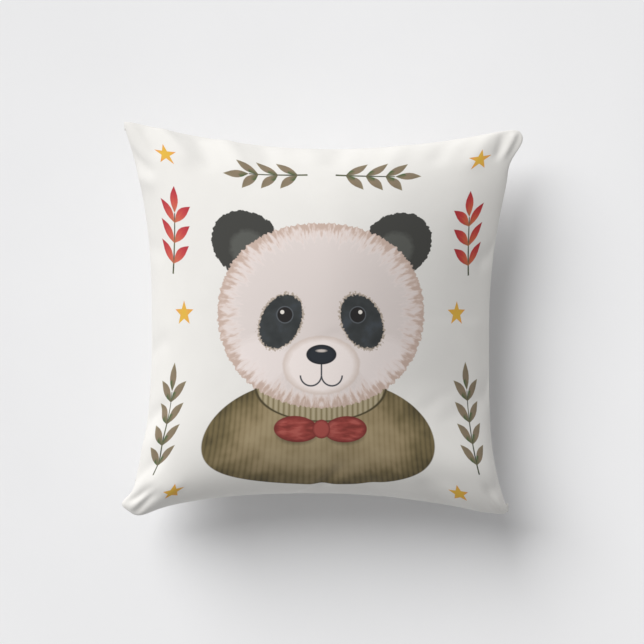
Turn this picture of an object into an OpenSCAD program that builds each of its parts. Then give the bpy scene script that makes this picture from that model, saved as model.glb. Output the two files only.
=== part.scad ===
/* [Cushion] */
// Half width of the stuffed cushion at its corners, before they are rounded in
corner_x = 203; // [194:1:209]
// Half height of the stuffed cushion at its corners, before they are rounded in
corner_y = 199; // [192:1:206]
// Distance from the centre to the middle of the left or right side
waist_side = 169; // [160:1:178]
// Distance from the centre to the middle of the top side
waist_top = 169; // [160:1:178]
// Distance from the centre to the middle of the zip side
waist_zip = 175; // [172:1:180]
// Height of the seam above the face that the cushion lies on
seam_z = 66; // [62:1:72]
// Height of each crown above the seam before the back is pressed flat
crown = 74; // [73:1:80]

/* [Cover] */
// Thickness of the cover cloth
cloth = 0.6; // [0.4:0.1:0.8]
// Width of the seam allowance turned inside
allowance = 8; // [6:1:10]
// Radius of the sewing thread
thread_r = 0.25; // [0.15:0.05:0.3]
// Length of the care label along the seam
label_length = 30; // [20:1:40]
// Depth of the care label from the seam
label_depth = 13; // [10:1:14]

/* [Zip] */
// Half length of the row of teeth
row_half = 138; // [120:1:140]
// Thickness of the teeth, from the outer face to the inner face
row_thick = 1.9; // [1.6:0.1:2]
// Width of one row of teeth
row_wide = 1.6; // [1.4:0.1:1.8]
// Half length of the slider
slider_half = 5; // [4.5:0.1:5.5]
// Half width of the slider across the teeth
slider_wide = 3.7; // [3.5:0.1:3.8]
// Length of the pull beyond the slider's bridge
pull_length = 16; // [12:1:20]

/* [Insert] */
// Size of the insert's outline against the cover's outline
insert_scale = 0.93; // [0.9:0.01:0.93]
// Height of the insert's crowns against the cover's crowns
insert_loft = 0.965; // [0.94:0.005:0.965]
// Thickness of the insert's cloth
lining = 0.4; // [0.3:0.1:0.5]

/* [Hidden] */

white = "#f2f0ec";
plain_white = "#eceae6";
thread_white = "#dedbd5";
nylon = "#e6e4df";
nickel = "#b4b6b9";
lining_white = "#e4e6e8";
fill_white = "#fafafa";

waist_power = 2.2;       // how sharply a side turns out towards its corners
crown_power = 2.2;       // flatness of the middle of the cushion
edge_power = 0.6;        // steepness of the cloth as it leaves the seam
corner_trim = 0.02;      // how far the corners are rounded in
panel_cells = 26;        // cells along each side of a cover panel
insert_cells = 18;       // cells along each side of an insert shell
gap = 0.1;               // clearance between the two panels at the seam
fold_step = 1.2;         // height the cloth has one cell in from the fold
fold_inset = 1.2;        // distance of the inside of the fold from the outside

slot_lift = 4.3;         // how far each lip of the zip opening stands off the seam's level
slot_full = 150;         // the lips are fully open to this distance from the middle
slot_end = 170;          // and closed from this distance on
chain_y = -169;          // centre of the teeth
row_gap = 0.5;           // half the gap between the two rows
tape_thick = 0.5;
tape_bend = 3.6;         // height above the seam's level where a tape turns inwards
tape_reach = 6.5;        // how far the tape then runs inwards, and how far it rises
lap_y = -162.2;          // where the zip side's seam allowance ends
lap_rise = 6.5;          // how far that allowance rises along the tape

stop_length = 2.4;
slider_x = row_half - slider_half - 0.5;
plate = 1.0;             // thickness of each of the slider's two plates
channel = 0.25;          // clearance between the teeth and each plate
plate_in = row_thick / 2 + channel;
plate_out = plate_in + plate;
flange_wide = 0.6;
flange_gap = 0.5;        // half the slot that the tapes pass through
divider_half = 0.4;
bridge_r = 2.6;
wire_r = 0.6;
bar_r = 0.55;
bar_out = plate_out + 1.1;
pull_wide = 4.4;
pull_thick = 1.0;
rail_wide = 1.0;

// The cushion's form. u and v run from -1 to 1 across the cushion's width and height.

function smooth(t) = let (c = min(1, max(0, t))) c * c * (3 - 2 * c);
function spread(i, n) = sin(90 * (2 * i / n - 1));
function waist(v) = v > 0 ? waist_top : waist_zip;
function round_in(u, v) = 1 - corner_trim * pow(abs(u * v), 6);
function place(u, v) = [
    u * (waist_side + (corner_x - waist_side) * pow(abs(v), waist_power)) * round_in(u, v),
    v * (waist(v) + (corner_y - waist(v)) * pow(abs(u), waist_power)) * round_in(u, v)
];
function rise(u, v) =
    crown * pow((1 - pow(abs(u), crown_power)) * (1 - pow(abs(v), crown_power)), edge_power);
function opening(x) = 1 - smooth((abs(x) - slot_full) / (slot_end - slot_full));
function lift(x, v) = v < 0 ? slot_lift * opening(x) : 0;
function swell(u, v) =
    let (h = rise(u, v) + (abs(u) < 1 && abs(v) < 1 ? fold_step : 0), l = lift(place(u, v)[0], v))
    sqrt(h * h + l * l);

// A height off the seam on the front (side 1) or the back (side -1), kept above the resting face.
function level(side, h, floor_h) = side > 0 ? seam_z + h : max(floor_h, seam_z - h);

// Two faces of a sheet on the same grid, closed along their rims into one solid.
module sheet(outer, inner, n, side) {
    m = n + 1;
    count = m * m;
    function at(i, j) = j * m + i;
    up = [
        for (j = [0:n - 1], i = [0:n - 1]) each [
            [at(i, j), at(i, j + 1), at(i + 1, j + 1)],
            [at(i, j), at(i + 1, j + 1), at(i + 1, j)]
        ]
    ];
    down = [for (f = up) [f[2] + count, f[1] + count, f[0] + count]];
    ring = concat(
        [for (i = [0:n - 1]) at(i, 0)],
        [for (j = [0:n - 1]) at(n, j)],
        [for (i = [n:-1:1]) at(i, n)],
        [for (j = [n:-1:1]) at(0, j)]
    );
    rim = [
        for (k = [0:len(ring) - 1]) let (a = ring[k], b = ring[(k + 1) % len(ring)]) each [
            [a + count, a, b],
            [a + count, b, b + count]
        ]
    ];
    faces = concat(up, down, rim);
    polyhedron(
        points = concat(outer, inner),
        faces = side > 0 ? faces : [for (f = faces) [f[2], f[1], f[0]]]
    );
}

// A solid swept through rings of points, each ring having the same number of points. Its ends are
// closed by cap, a list of convex faces on one ring, or by the whole ring if that is convex.
module sweep(rings, cap = []) {
    m = len(rings[0]);
    ends = cap == [] ? [[for (q = [0:m - 1]) q]] : cap;
    last = len(rings) - 1;
    sides = [
        for (k = [0:last - 1], q = [0:m - 1]) let (r = (q + 1) % m) each [
            [k * m + q, k * m + r, (k + 1) * m + r],
            [k * m + q, (k + 1) * m + r, (k + 1) * m + q]
        ]
    ];
    polyhedron(
        points = [for (ring = rings) each ring],
        faces = concat(
            [for (end = ends) [for (k = [len(end) - 1:-1:0]) end[k]]],
            sides,
            [for (end = ends) [for (q = end) last * m + q]]
        )
    );
}

// Cover panels: a dome whose rim folds under and runs back inside as the seam allowance.

function turned(t) = 0.5 + (allowance - 0.5) * (1 - pow(abs(t), 8));
function zip_turned(u) =
    let (edge = place(u, -1), open = opening(edge[0]))
    open * (lap_y - edge[1]) + (1 - open) * turned(u);
function clamped(i, n) = spread(min(n, max(0, i)), n);
function cut_side(i, n) = i < 0 ? -1 : i > n ? 1 : 0;
function folded_in(i, j, n) =
    let (u = clamped(i, n), v = clamped(j, n), p = place(u, v))
    [
        p[0] - cut_side(i, n) * turned(v),
        p[1] - cut_side(j, n) * (j < 0 ? zip_turned(u) : turned(u))
    ];
function lap_lift(i, j, n) =
    let (x = place(clamped(i, n), clamped(j, n))[0])
    lift(x, clamped(j, n)) + (j < 0 ? lap_rise * opening(x) : 0);

function panel_point(i, j, n, side, face) =
    let (
        u = clamped(i, n),
        v = clamped(j, n),
        p = place(u, v),
        allowance_ring = i < 0 || j < 0 || i > n || j > n,
        fold_ring = !allowance_ring && (i == 0 || j == 0 || i == n || j == n)
    )
    allowance_ring
        ? let (q = folded_in(i, j, n)) [q[0], q[1], seam_z + side * (gap + face * cloth + lap_lift(i, j, n))]
        : fold_ring
            ? [
                p[0] - face * cut_fold(i, n) * fold_inset,
                p[1] - face * cut_fold(j, n) * fold_inset,
                seam_z + side * (gap + face * cloth + lift(p[0], v))
            ]
            : [p[0], p[1], level(side, gap + (1 - face) * cloth + swell(u, v), face * cloth)];
function cut_fold(i, n) = i == 0 ? -1 : i == n ? 1 : 0;

module cover_panel(side) {
    n = panel_cells;
    outer = [for (j = [-1:n + 1], i = [-1:n + 1]) panel_point(i, j, n, side, 0)];
    inner = [for (j = [-1:n + 1], i = [-1:n + 1]) panel_point(i, j, n, side, 1)];
    sheet(outer, inner, n + 2, side);
}

module cover_front_panel() {
    color(white) cover_panel(1);
}

module cover_back_panel() {
    color(plain_white) cover_panel(-1);
}

// Seam threads and overlocking. A side is named by its outward direction.

side_top = [0, 1];
side_left = [-1, 0];
side_right = [1, 0];
side_zip = [0, -1];

function along_side(way, t) = way[0] == 0 ? place(t, way[1]) : place(way[0], t);
function inside_side(way, t, depth) = along_side(way, t) - depth * way;
function thread_ring(centre, across, r) = [
    for (k = [0:5])
        [centre[0], centre[1], centre[2]]
            + r * cos(60 * k) * [across[0], across[1], 0]
            + [0, 0, r * sin(60 * k)]
];
// Rings wind one way round when the side runs along its own left-hand direction.
function run(way, a, b, n) = [for (k = [0:n]) let (t = a + (b - a) * k / n) way[0] - way[1] > 0 ? t : -t];

module thread_rail(way, a, b, depth, z, r, n) {
    sweep([
        for (t = run(way, a, b, n))
            let (p = inside_side(way, t, depth)) thread_ring([p[0], p[1], z], way, r)
    ]);
}

module seam_thread(way, a, b, n) {
    stitch_depth = 2;
    off_seam = gap + cloth + thread_r + 0.05;
    color(thread_white)
        for (side = [-1, 1])
            thread_rail(way, a, b, stitch_depth, seam_z + side * off_seam, thread_r, n);
}

module seam_thread_top() {
    seam_thread(side_top, -0.9, 0.9, 20);
}

module seam_thread_left() {
    seam_thread(side_left, -0.9, 0.9, 20);
}

module seam_thread_right() {
    seam_thread(side_right, -0.9, 0.9, 20);
}

module seam_thread_zip_side() {
    stretch = [0.89, 0.94];
    seam_thread(side_zip, stretch[0], stretch[1], 2);
    seam_thread(side_zip, -stretch[1], -stretch[0], 2);
}

// Overlocking wraps the cut edges of both seam allowances.
module overlock(way) {
    wrap = 0.35;
    leg = 2.5;
    clear = 0.08;
    reach = allowance + clear;
    low = gap + cloth + clear;
    high = low + wrap;
    section = [
        [reach - leg, low], [reach, low], [reach, -low], [reach - leg, -low],
        [reach - leg, -high], [reach + wrap, -high], [reach + wrap, high], [reach - leg, high]
    ];
    cap = [[0, 1, 6, 7], [1, 2, 5, 6], [2, 3, 4, 5]];
    color(thread_white)
        sweep([
            for (t = run(way, -0.6, 0.6, 14)) [
                for (s = section) let (p = inside_side(way, t, s[0])) [p[0], p[1], seam_z + s[1]]
            ]
        ], cap);
}

module overlock_top() {
    overlock(side_top);
}

module overlock_left() {
    overlock(side_left);
}

module overlock_right() {
    overlock(side_right);
}

// A blank label that hangs inside the cover from the left seam.
module care_label() {
    label_x = -163.2;
    label_y = -70;
    label_thick = 0.3;
    below_seam = 1.4;
    color(nylon)
        translate([label_x, label_y, seam_z - below_seam - label_depth])
            cube([label_thick, label_length, label_depth]);
}

// Zip: two rows of teeth on two tapes in the opening between the panels.

module zip_tape(side) {
    length = 2 * slot_full;
    foot = row_gap + row_wide;
    half = tape_thick / 2;
    color(nylon)
        translate([length / 2, chain_y, seam_z])
            rotate([90, 0, -90])
                linear_extrude(length)
                    polygon([
                        [-half, side * foot],
                        [half, side * foot],
                        [half, side * (tape_bend + half)],
                        [half - tape_reach, side * (tape_bend + half + tape_reach)],
                        [-half - tape_reach, side * (tape_bend + tape_reach)],
                        [-half, side * tape_bend]
                    ]);
}

module zip_tape_front() {
    zip_tape(1);
}

module zip_tape_back() {
    zip_tape(-1);
}

module centred_box(x, y, z) {
    translate([x[0], chain_y + y[0], seam_z + z[0]])
        cube([x[1] - x[0], y[1] - y[0], z[1] - z[0]]);
}

function row_band(side) = side > 0 ? [row_gap, row_gap + row_wide] : [-row_gap - row_wide, -row_gap];

module zip_teeth(side) {
    color(nylon)
        centred_box([-row_half, row_half], [-row_thick / 2, row_thick / 2], row_band(side));
}

module zip_teeth_front() {
    zip_teeth(1);
}

module zip_teeth_back() {
    zip_teeth(-1);
}

// The line of stitches that holds a tape to its seam allowance lies on the tape's inner face.
module zip_stitches(side) {
    stitch_in = 4.5;
    off_tape = 0.75;
    y = chain_y + stitch_in - off_tape + tape_thick + 1;
    z = seam_z + side * (tape_bend + stitch_in - off_tape - tape_thick);
    color(thread_white)
        translate([-slot_full, y, z])
            rotate([0, 90, 0])
                cylinder(r = thread_r, h = 2 * slot_full, $fn = 16);
}

module zip_stitches_front() {
    zip_stitches(1);
}

module zip_stitches_back() {
    zip_stitches(-1);
}

module zip_top_stops() {
    color(nickel)
        for (side = [-1, 1])
            centred_box([row_half, row_half + stop_length], [-row_thick / 2, row_thick / 2], row_band(side));
}

module zip_bottom_stop() {
    reach = row_gap + row_wide;
    color(nickel)
        centred_box([-row_half - stop_length, -row_half], [-row_thick / 2, row_thick / 2], [-reach, reach]);
}

// Slider: two plates joined by a divider at the nose, with flanges that keep the rows together.
module slider_plate(out) {
    band = out < 0 ? [-plate_out, -plate_in] : [plate_in, plate_out];
    lip = out < 0 ? [-plate_in, -flange_gap] : [flange_gap, plate_in];
    x = [slider_x - slider_half, slider_x + slider_half];
    centred_box(x, band, [-slider_wide, slider_wide]);
    centred_box(x, lip, [slider_wide - flange_wide, slider_wide]);
    centred_box(x, lip, [-slider_wide, -slider_wide + flange_wide]);
}

module slider_bridge() {
    translate([slider_x, chain_y - plate_out, seam_z])
        intersection() {
            rotate_extrude($fn = 64) translate([bridge_r, 0]) circle(r = wire_r, $fn = 24);
            translate([-2 * bridge_r, -2 * bridge_r, -2 * wire_r])
                cube([4 * bridge_r, 2 * bridge_r + 0.2, 4 * wire_r]);
        }
}

module zip_slider() {
    divider_length = 2.4;
    nose = slider_x + slider_half;
    color(nickel)
        union() {
            slider_plate(-1);
            slider_plate(1);
            centred_box([nose - divider_length, nose], [-plate_in, plate_in], [-divider_half, divider_half]);
            slider_bridge();
        }
}

// Pull: a bar under the bridge, two rails past it, and a flat tab that lies along the teeth.
module zip_pull() {
    rail_end = 4.4;
    tab_end = rail_end + pull_length;
    half = pull_wide / 2;
    y = [-bar_out - pull_thick / 2, -bar_out + pull_thick / 2];
    color(nickel)
        union() {
            translate([slider_x, chain_y - bar_out, seam_z - half]) cylinder(r = bar_r, h = pull_wide, $fn = 32);
            centred_box([slider_x - rail_end, slider_x], y, [half - rail_wide, half]);
            centred_box([slider_x - rail_end, slider_x], y, [-half, -half + rail_wide]);
            difference() {
                union() {
                    centred_box([slider_x - tab_end + half, slider_x - rail_end + 0.01], y, [-half, half]);
                    translate([slider_x - tab_end + half, chain_y + y[1], seam_z])
                        rotate([90, 0, 0]) cylinder(r = half, h = pull_thick, $fn = 48);
                }
                translate([slider_x - tab_end + half, chain_y + y[1] + 1, seam_z])
                    rotate([90, 0, 0]) cylinder(r = 1, h = pull_thick + 2, $fn = 32);
            }
        }
}

// Insert: a lining bag of two shells around the fibre, inside the cover.

insert_zip_scale = insert_scale - 0.055;    // the bag stays clear of the zip
function insert_place(u, v) =
    let (p = place(u, v)) [p[0] * insert_scale, p[1] * (v < 0 ? insert_zip_scale : insert_scale)];
function bag_height(u, v) = insert_loft * rise(u, v);

module insert_shell(side) {
    n = insert_cells;
    rest = cloth + 0.3;
    outer = [
        for (j = [0:n], i = [0:n]) let (u = spread(i, n), v = spread(j, n), p = insert_place(u, v))
            [p[0], p[1], level(side, gap + lining + bag_height(u, v), rest)]
    ];
    inner = [
        for (j = [0:n], i = [0:n]) let (u = spread(i, n), v = spread(j, n), p = insert_place(u, v))
            [p[0], p[1], level(side, gap + bag_height(u, v), rest + lining)]
    ];
    sheet(outer, inner, n, side);
}

module insert_front_shell() {
    color(lining_white) insert_shell(1);
}

module insert_back_shell() {
    color(lining_white) insert_shell(-1);
}

// The bag's seam runs round three sides just outside its edge, and the fourth is closed after filling.
module insert_edge_rail(way, a, b, n) {
    off = 0.45;
    sweep([
        for (t = run(way, a, b, n)) let (
            u = way[0] == 0 ? t : way[0],
            v = way[0] == 0 ? way[1] : t,
            p = insert_place(u, v) + off * way
        ) thread_ring([p[0], p[1], seam_z], way, thread_r)
    ]);
}

module insert_seam_thread() {
    color(thread_white)
        for (way = [side_left, side_right, side_top])
            insert_edge_rail(way, -0.9, 0.9, 20);
}

module insert_closing_stitches() {
    color(thread_white) insert_edge_rail(side_zip, -0.4, 0.4, 10);
}

module fibre_fill() {
    n = insert_cells;
    clear = 0.1;
    shrink = 0.985;
    rest = cloth + 0.3 + lining + clear;
    heights = [
        for (j = [0:n], i = [0:n]) let (u = spread(i, n), v = spread(j, n), p = shrink * insert_place(u, v))
            [p[0], p[1], max(0.05, 0.97 * bag_height(u, v) - clear)]
    ];
    color(fill_white)
        sheet(
            [for (h = heights) [h[0], h[1], level(1, h[2], rest)]],
            [for (h = heights) [h[0], h[1], level(-1, h[2], rest)]],
            n, 1
        );
}

cover_front_panel();
cover_back_panel();
seam_thread_top();
seam_thread_left();
seam_thread_right();
seam_thread_zip_side();
overlock_top();
overlock_left();
overlock_right();
care_label();
zip_tape_front();
zip_tape_back();
zip_teeth_front();
zip_teeth_back();
zip_stitches_front();
zip_stitches_back();
zip_top_stops();
zip_bottom_stop();
zip_slider();
zip_pull();
insert_front_shell();
insert_back_shell();
insert_seam_thread();
insert_closing_stitches();
fibre_fill();
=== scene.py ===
"""A printed throw pillow: its stuffed cover, painted panda print, zip and insert, in a plain studio.

Lengths are millimetres until a mesh is made, and a mesh is in metres. The cloth of each cover panel
is described on its flat cut, a square centred on 0, 0, which the print and the folds refer to.
"""

import logging
import math
from dataclasses import astuple, dataclass, field
from enum import Enum
from typing import Iterable, Sequence, Union

import bmesh
import bpy
import numpy as np
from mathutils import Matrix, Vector


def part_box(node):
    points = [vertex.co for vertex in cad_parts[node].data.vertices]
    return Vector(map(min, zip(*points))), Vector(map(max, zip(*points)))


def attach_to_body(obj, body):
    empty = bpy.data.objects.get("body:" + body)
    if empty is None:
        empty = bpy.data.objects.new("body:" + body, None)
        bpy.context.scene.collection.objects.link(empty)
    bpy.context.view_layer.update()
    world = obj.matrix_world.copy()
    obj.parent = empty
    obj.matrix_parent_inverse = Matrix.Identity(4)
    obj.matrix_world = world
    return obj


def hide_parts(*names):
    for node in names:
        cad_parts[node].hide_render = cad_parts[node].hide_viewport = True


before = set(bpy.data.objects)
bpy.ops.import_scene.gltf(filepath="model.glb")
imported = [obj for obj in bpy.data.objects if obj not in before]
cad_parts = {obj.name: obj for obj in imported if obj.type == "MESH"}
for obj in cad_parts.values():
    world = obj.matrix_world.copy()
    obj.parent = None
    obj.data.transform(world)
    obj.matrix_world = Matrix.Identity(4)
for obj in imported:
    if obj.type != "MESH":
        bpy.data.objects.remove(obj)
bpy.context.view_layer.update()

MM = 0.001
ROOT = "root"
Point = tuple[float, float]
Colour = tuple[float, float, float, float]
Stops = Sequence[tuple[float, Colour]]
log = logging.getLogger("pillow")


# Shader language


def ink(red: int, green: int, blue: int) -> Colour:
    """The linear colour of a paint chip given on the usual scale of 0 to 255.

    Args:
        red: The chip's red.
        green: The chip's green.
        blue: The chip's blue.

    Returns:
        Linear red, green, blue, and a full alpha.
    """
    chip = [value / 255 for value in (red, green, blue)]
    linear = [c / 12.92 if c <= 0.04045 else ((c + 0.055) / 1.055) ** 2.4 for c in chip]
    return (linear[0], linear[1], linear[2], 1.0)


class Value:
    """A number that varies over a surface. Arithmetic on it adds Math nodes to its shader."""

    def __init__(self, shader: "Shader", socket: bpy.types.NodeSocket) -> None:
        """Wraps one output socket of a shader's node."""
        self.shader = shader
        self.socket = socket

    def __add__(self, other: "Number") -> "Value":
        """This value plus another."""
        return self.shader.math("ADD", self, other)

    def __radd__(self, other: "Number") -> "Value":
        """Another value plus this one."""
        return self.shader.math("ADD", other, self)

    def __sub__(self, other: "Number") -> "Value":
        """This value minus another."""
        return self.shader.math("SUBTRACT", self, other)

    def __rsub__(self, other: "Number") -> "Value":
        """Another value minus this one."""
        return self.shader.math("SUBTRACT", other, self)

    def __mul__(self, other: "Number") -> "Value":
        """This value times another."""
        return self.shader.math("MULTIPLY", self, other)

    def __rmul__(self, other: "Number") -> "Value":
        """Another value times this one."""
        return self.shader.math("MULTIPLY", other, self)

    def __truediv__(self, other: "Number") -> "Value":
        """This value divided by another."""
        return self.shader.math("DIVIDE", self, other)

    def __neg__(self) -> "Value":
        """This value with its sign changed."""
        return self.shader.math("MULTIPLY", self, -1.0)

    def __pow__(self, power: float) -> "Value":
        """This value raised to a power."""
        return self.shader.math("POWER", self, power)

    def __abs__(self) -> "Value":
        """This value without its sign."""
        return self.shader.math("ABSOLUTE", self)

    def least(self, other: "Number") -> "Value":
        """The smaller of this value and another."""
        return self.shader.math("MINIMUM", self, other)

    def most(self, other: "Number") -> "Value":
        """The larger of this value and another."""
        return self.shader.math("MAXIMUM", self, other)

    def sine(self) -> "Value":
        """The sine of this value in radians."""
        return self.shader.math("SINE", self)

    def clipped(self) -> "Value":
        """This value held between 0 and 1."""
        return self.shader.math("MULTIPLY", self, 1.0, clamp=True)

    def over(self, soft: float) -> "Value":
        """A mask that is 0 where this value is negative and 1 where it is more than soft."""
        return self.shader.math("MULTIPLY", self, 1 / soft, clamp=True)

    def times_plus(self, factor: float, offset: "Number") -> "Value":
        """This value times a factor, plus an offset, in one node."""
        return self.shader.math("MULTIPLY_ADD", self, factor, offset)


Number = Union[Value, float]
Input = Union[Value, bpy.types.NodeSocket, float, Colour, Sequence[float]]


class Shader:
    """One material and the nodes that paint it."""

    def __init__(self, name: str) -> None:
        """Makes an empty material, with its nodes cleared.

        Args:
            name: The finish's name.
        """
        self.material = bpy.data.materials.new(name)
        self.material.use_nodes = True
        self.tree = self.material.node_tree
        self.tree.nodes.clear()

    def node(
        self,
        kind: str,
        settings: dict[str, object] | None = None,
        inputs: dict[int | str, Input] | None = None,
    ) -> bpy.types.Node:
        """Adds any node.

        Args:
            kind: The node's type.
            settings: Its own settings, and "stops" for a colour ramp or "points" for a curve.
            inputs: A number, colour or link for each named or numbered socket.

        Returns:
            The new node.
        """
        node = self.tree.nodes.new(kind)
        for key, setting in (settings or {}).items():
            if key == "stops":
                self._set_stops(node.color_ramp, setting)
            elif key == "points":
                self._set_points(node.mapping, setting)
            else:
                setattr(node, key, setting)
        for key, value in (inputs or {}).items():
            source = value.socket if isinstance(value, Value) else value
            if isinstance(source, bpy.types.NodeSocket):
                self.tree.links.new(source, node.inputs[key])
            else:
                node.inputs[key].default_value = source
        return node

    @staticmethod
    def _set_stops(ramp: bpy.types.ColorRamp, stops: Stops) -> None:
        """Gives a colour ramp its stops.

        Args:
            ramp: The node's ramp.
            stops: Positions and colours in order.
        """
        while len(ramp.elements) < len(stops):
            ramp.elements.new(1.0)
        for element, (position, colour) in zip(ramp.elements, stops):
            element.position = position
            element.color = colour

    @staticmethod
    def _set_points(mapping: bpy.types.CurveMapping, points: Sequence[Point]) -> None:
        """Gives a curve its points, joined by straight lines.

        Args:
            mapping: The node's curve mapping.
            points: Positions and heights in order, each from 0 to 1.
        """
        curve = mapping.curves[0]
        while len(curve.points) < len(points):
            curve.points.new(0.5, 0.5)
        for knot, (position, height) in zip(curve.points, points):
            knot.location = (position, height)
            knot.handle_type = "VECTOR"
        mapping.update()

    def math(self, operation: str, *terms: Number, clamp: bool = False) -> Value:
        """Adds one Math node.

        Args:
            operation: What it does.
            terms: Its values.
            clamp: Whether its result is held between 0 and 1.

        Returns:
            The result.
        """
        settings = {"operation": operation, "use_clamp": clamp}
        return Value(self, self.node("ShaderNodeMath", settings, dict(enumerate(terms))).outputs[0])

    def mix(self, factor: Number, below: Input, above: Input, blend: str = "MIX") -> bpy.types.NodeSocket:
        """Lays one colour over another.

        Args:
            factor: How much of the upper colour shows.
            below: The lower colour.
            above: The upper colour.
            blend: How the two colours meet.

        Returns:
            The resulting colour.
        """
        node = self.node(
            "ShaderNodeMix",
            {"data_type": "RGBA", "blend_type": blend, "clamp_factor": True},
            {0: factor, 6: below, 7: above},
        )
        return node.outputs[2]

    def ramp(self, value: Value, stops: Stops) -> bpy.types.NodeSocket:
        """The colour that a ramp gives to a value.

        Args:
            value: Where to read the ramp, from 0 to 1.
            stops: The ramp's stops in order.

        Returns:
            The colour.
        """
        return self.node("ShaderNodeValToRGB", {"stops": stops}, {0: value}).outputs[0]

    def curve(self, value: Value, points: Sequence[Point]) -> Value:
        """The height that a curve gives to a value.

        Args:
            value: Where to read the curve, from 0 to 1.
            points: The curve's points in order.

        Returns:
            The height, from 0 to 1.
        """
        node = self.node("ShaderNodeFloatCurve", {"points": points}, {1: value})
        return Value(self, node.outputs[0])

    def vector(self, x: Number, y: Number, z: Number = 0.0) -> bpy.types.NodeSocket:
        """Three numbers as one vector."""
        return self.node("ShaderNodeCombineXYZ", None, {0: x, 1: y, 2: z}).outputs[0]

    def noise(self, at: bpy.types.NodeSocket, scale: float, detail: float = 2.0) -> Value:
        """Smooth noise.

        Args:
            at: Where to read it.
            scale: Its features for each unit of length.
            detail: How many finer layers it has.

        Returns:
            The noise, mostly from 0.3 to 0.7.
        """
        node = self.node("ShaderNodeTexNoise", None, {"Vector": at, "Scale": scale, "Detail": detail})
        return Value(self, node.outputs[0])

    def place(self) -> tuple[Value, Value, Value]:
        """The surface's own position in millimetres, as three values."""
        spot = self.node("ShaderNodeTexCoord").outputs["Object"]
        scaled = self.node("ShaderNodeVectorMath", {"operation": "SCALE"}, {0: spot, "Scale": 1 / MM})
        parts = self.node("ShaderNodeSeparateXYZ", None, {0: scaled.outputs[0]})
        return tuple(Value(self, parts.outputs[axis]) for axis in range(3))

    def surface(
        self, constants: dict[str, Input], varying: dict[str, Input], height: Value, relief: float
    ) -> bpy.types.Material:
        """Closes the material with a Principled surface and a bump.

        Args:
            constants: Values that are the same all over.
            varying: Links for what changes over the surface.
            height: The bump's height from 0 to 1.
            relief: The depth of the bump in millimetres.

        Returns:
            The finished material.
        """
        dents = {"Strength": 1.0, "Distance": relief * MM, "Height": height}
        bump = self.node("ShaderNodeBump", None, dents).outputs[0]
        skin = self.node("ShaderNodeBsdfPrincipled", None, {**constants, **varying, "Normal": bump})
        self.node("ShaderNodeOutputMaterial", None, {"Surface": skin.outputs[0]})
        return self.material


# Finishes


@dataclass(frozen=True)
class Woven:
    """A plain weave: thread pitch and relief, and the cloth's colour, softness and evenness."""

    name: str
    colour: Colour
    shade: Colour
    pitch: float = 0.8
    relief: float = 0.05
    roughness: float = 0.9
    sheen: float = 0.12

    def height(self, shader: Shader, x: Value, y: Value) -> Value:
        """The weave's height over and under, with slubs in its threads.

        Args:
            shader: The shader that it joins.
            x: Position across the warp.
            y: Position across the weft.

        Returns:
            The height from 0 to 1.
        """
        turn = 2 * math.pi / self.pitch
        warp = (x * turn).sine()
        weft = (y * turn).sine()
        slub = shader.noise(shader.vector(x * 0.35, y * 3.1), 1.0, 1.0)
        return (warp * weft).times_plus(0.35, slub * 0.6 + 0.2)

    def cloth(self, shader: Shader, x: Value, y: Value) -> bpy.types.NodeSocket:
        """The undyed cloth's colour, faintly clouded.

        Args:
            shader: The shader that it joins.
            x: Position across the warp.
            y: Position across the weft.

        Returns:
            The colour.
        """
        cloud = shader.noise(shader.vector(x, y), 0.03, 4.0)
        return shader.ramp(cloud, [(0.3, self.shade), (0.7, self.colour)])

    def close(self, shader: Shader, x: Value, y: Value, colour: bpy.types.NodeSocket) -> bpy.types.Material:
        """Finishes a cloth material.

        Args:
            shader: The shader to finish.
            x: Position across the warp.
            y: Position across the weft.
            colour: The colour over the cloth.

        Returns:
            The material.
        """
        height = self.height(shader, x, y)
        constants = {
            "Sheen Weight": self.sheen,
            "Sheen Roughness": 0.5,
            "Specular IOR Level": 0.25,
            "Roughness": self.roughness,
        }
        return shader.surface(constants, {"Base Color": colour}, height, self.relief)

    def make(self) -> bpy.types.Material:
        """The plain cloth on its own."""
        shader = Shader(self.name)
        x, y, z = shader.place()
        return self.close(shader, x + z * 0.15, y + z * 0.15, self.cloth(shader, x, y))


@dataclass(frozen=True)
class Twisted:
    """Sewing thread: two plies twisted along its length."""

    name: str
    colour: Colour
    shade: Colour
    twist: float = 0.7

    def make(self) -> bpy.types.Material:
        """The thread's material, with its plies as slanted ridges and painted shade in the grooves between
        them.
        """
        shader = Shader(self.name)
        x, y, z = shader.place()
        ply = ((x + y + z * 1.6) * (2 * math.pi / self.twist)).sine() * 0.5 + 0.5
        fuzz = shader.noise(shader.vector(x, y, z), 2.5, 2.0)
        # painted shade: the grooves between the plies are coloured darker, following the ply ridges of the
        # bump
        colour = shader.ramp(ply * 0.6 + fuzz * 0.5, [(0.2, self.shade), (0.8, self.colour)])
        rough = {"Roughness": fuzz * 0.3 + 0.45, "Base Color": colour}
        return shader.surface({"Sheen Weight": 0.3}, rough, ply, 0.06)


@dataclass(frozen=True)
class Ribbed:
    """Tape or ribbon: fine ribs one way, crossed by finer ones."""

    name: str
    colour: Colour
    shade: Colour
    rib: float
    gloss: float

    def make(self) -> bpy.types.Material:
        """The tape's material, with ribs across its length, a knit along it, and painted shade in the grooves
        of both.
        """
        shader = Shader(self.name)
        x, y, z = shader.place()
        across = (x * (2 * math.pi / self.rib)).sine()
        chevron = ((abs(z - 66.0) + y + x * 0.5) * (2 * math.pi / (self.rib * 1.6))).sine()
        knit = across * 0.25 + chevron * 0.25 + 0.5
        wear = shader.noise(shader.vector(x, y, z), 0.25, 3.0)
        # painted shade: the grooves of the ribs and knit are coloured darker, following the bump's relief;
        # the wear noise adds random tone
        colour = shader.ramp(knit * 0.5 + wear * 0.6, [(0.25, self.shade), (0.85, self.colour)])
        varying = {"Base Color": colour, "Roughness": wear * 0.25 + (0.85 - self.gloss)}
        return shader.surface({"Sheen Weight": 0.2}, varying, knit, 0.05)


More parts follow.
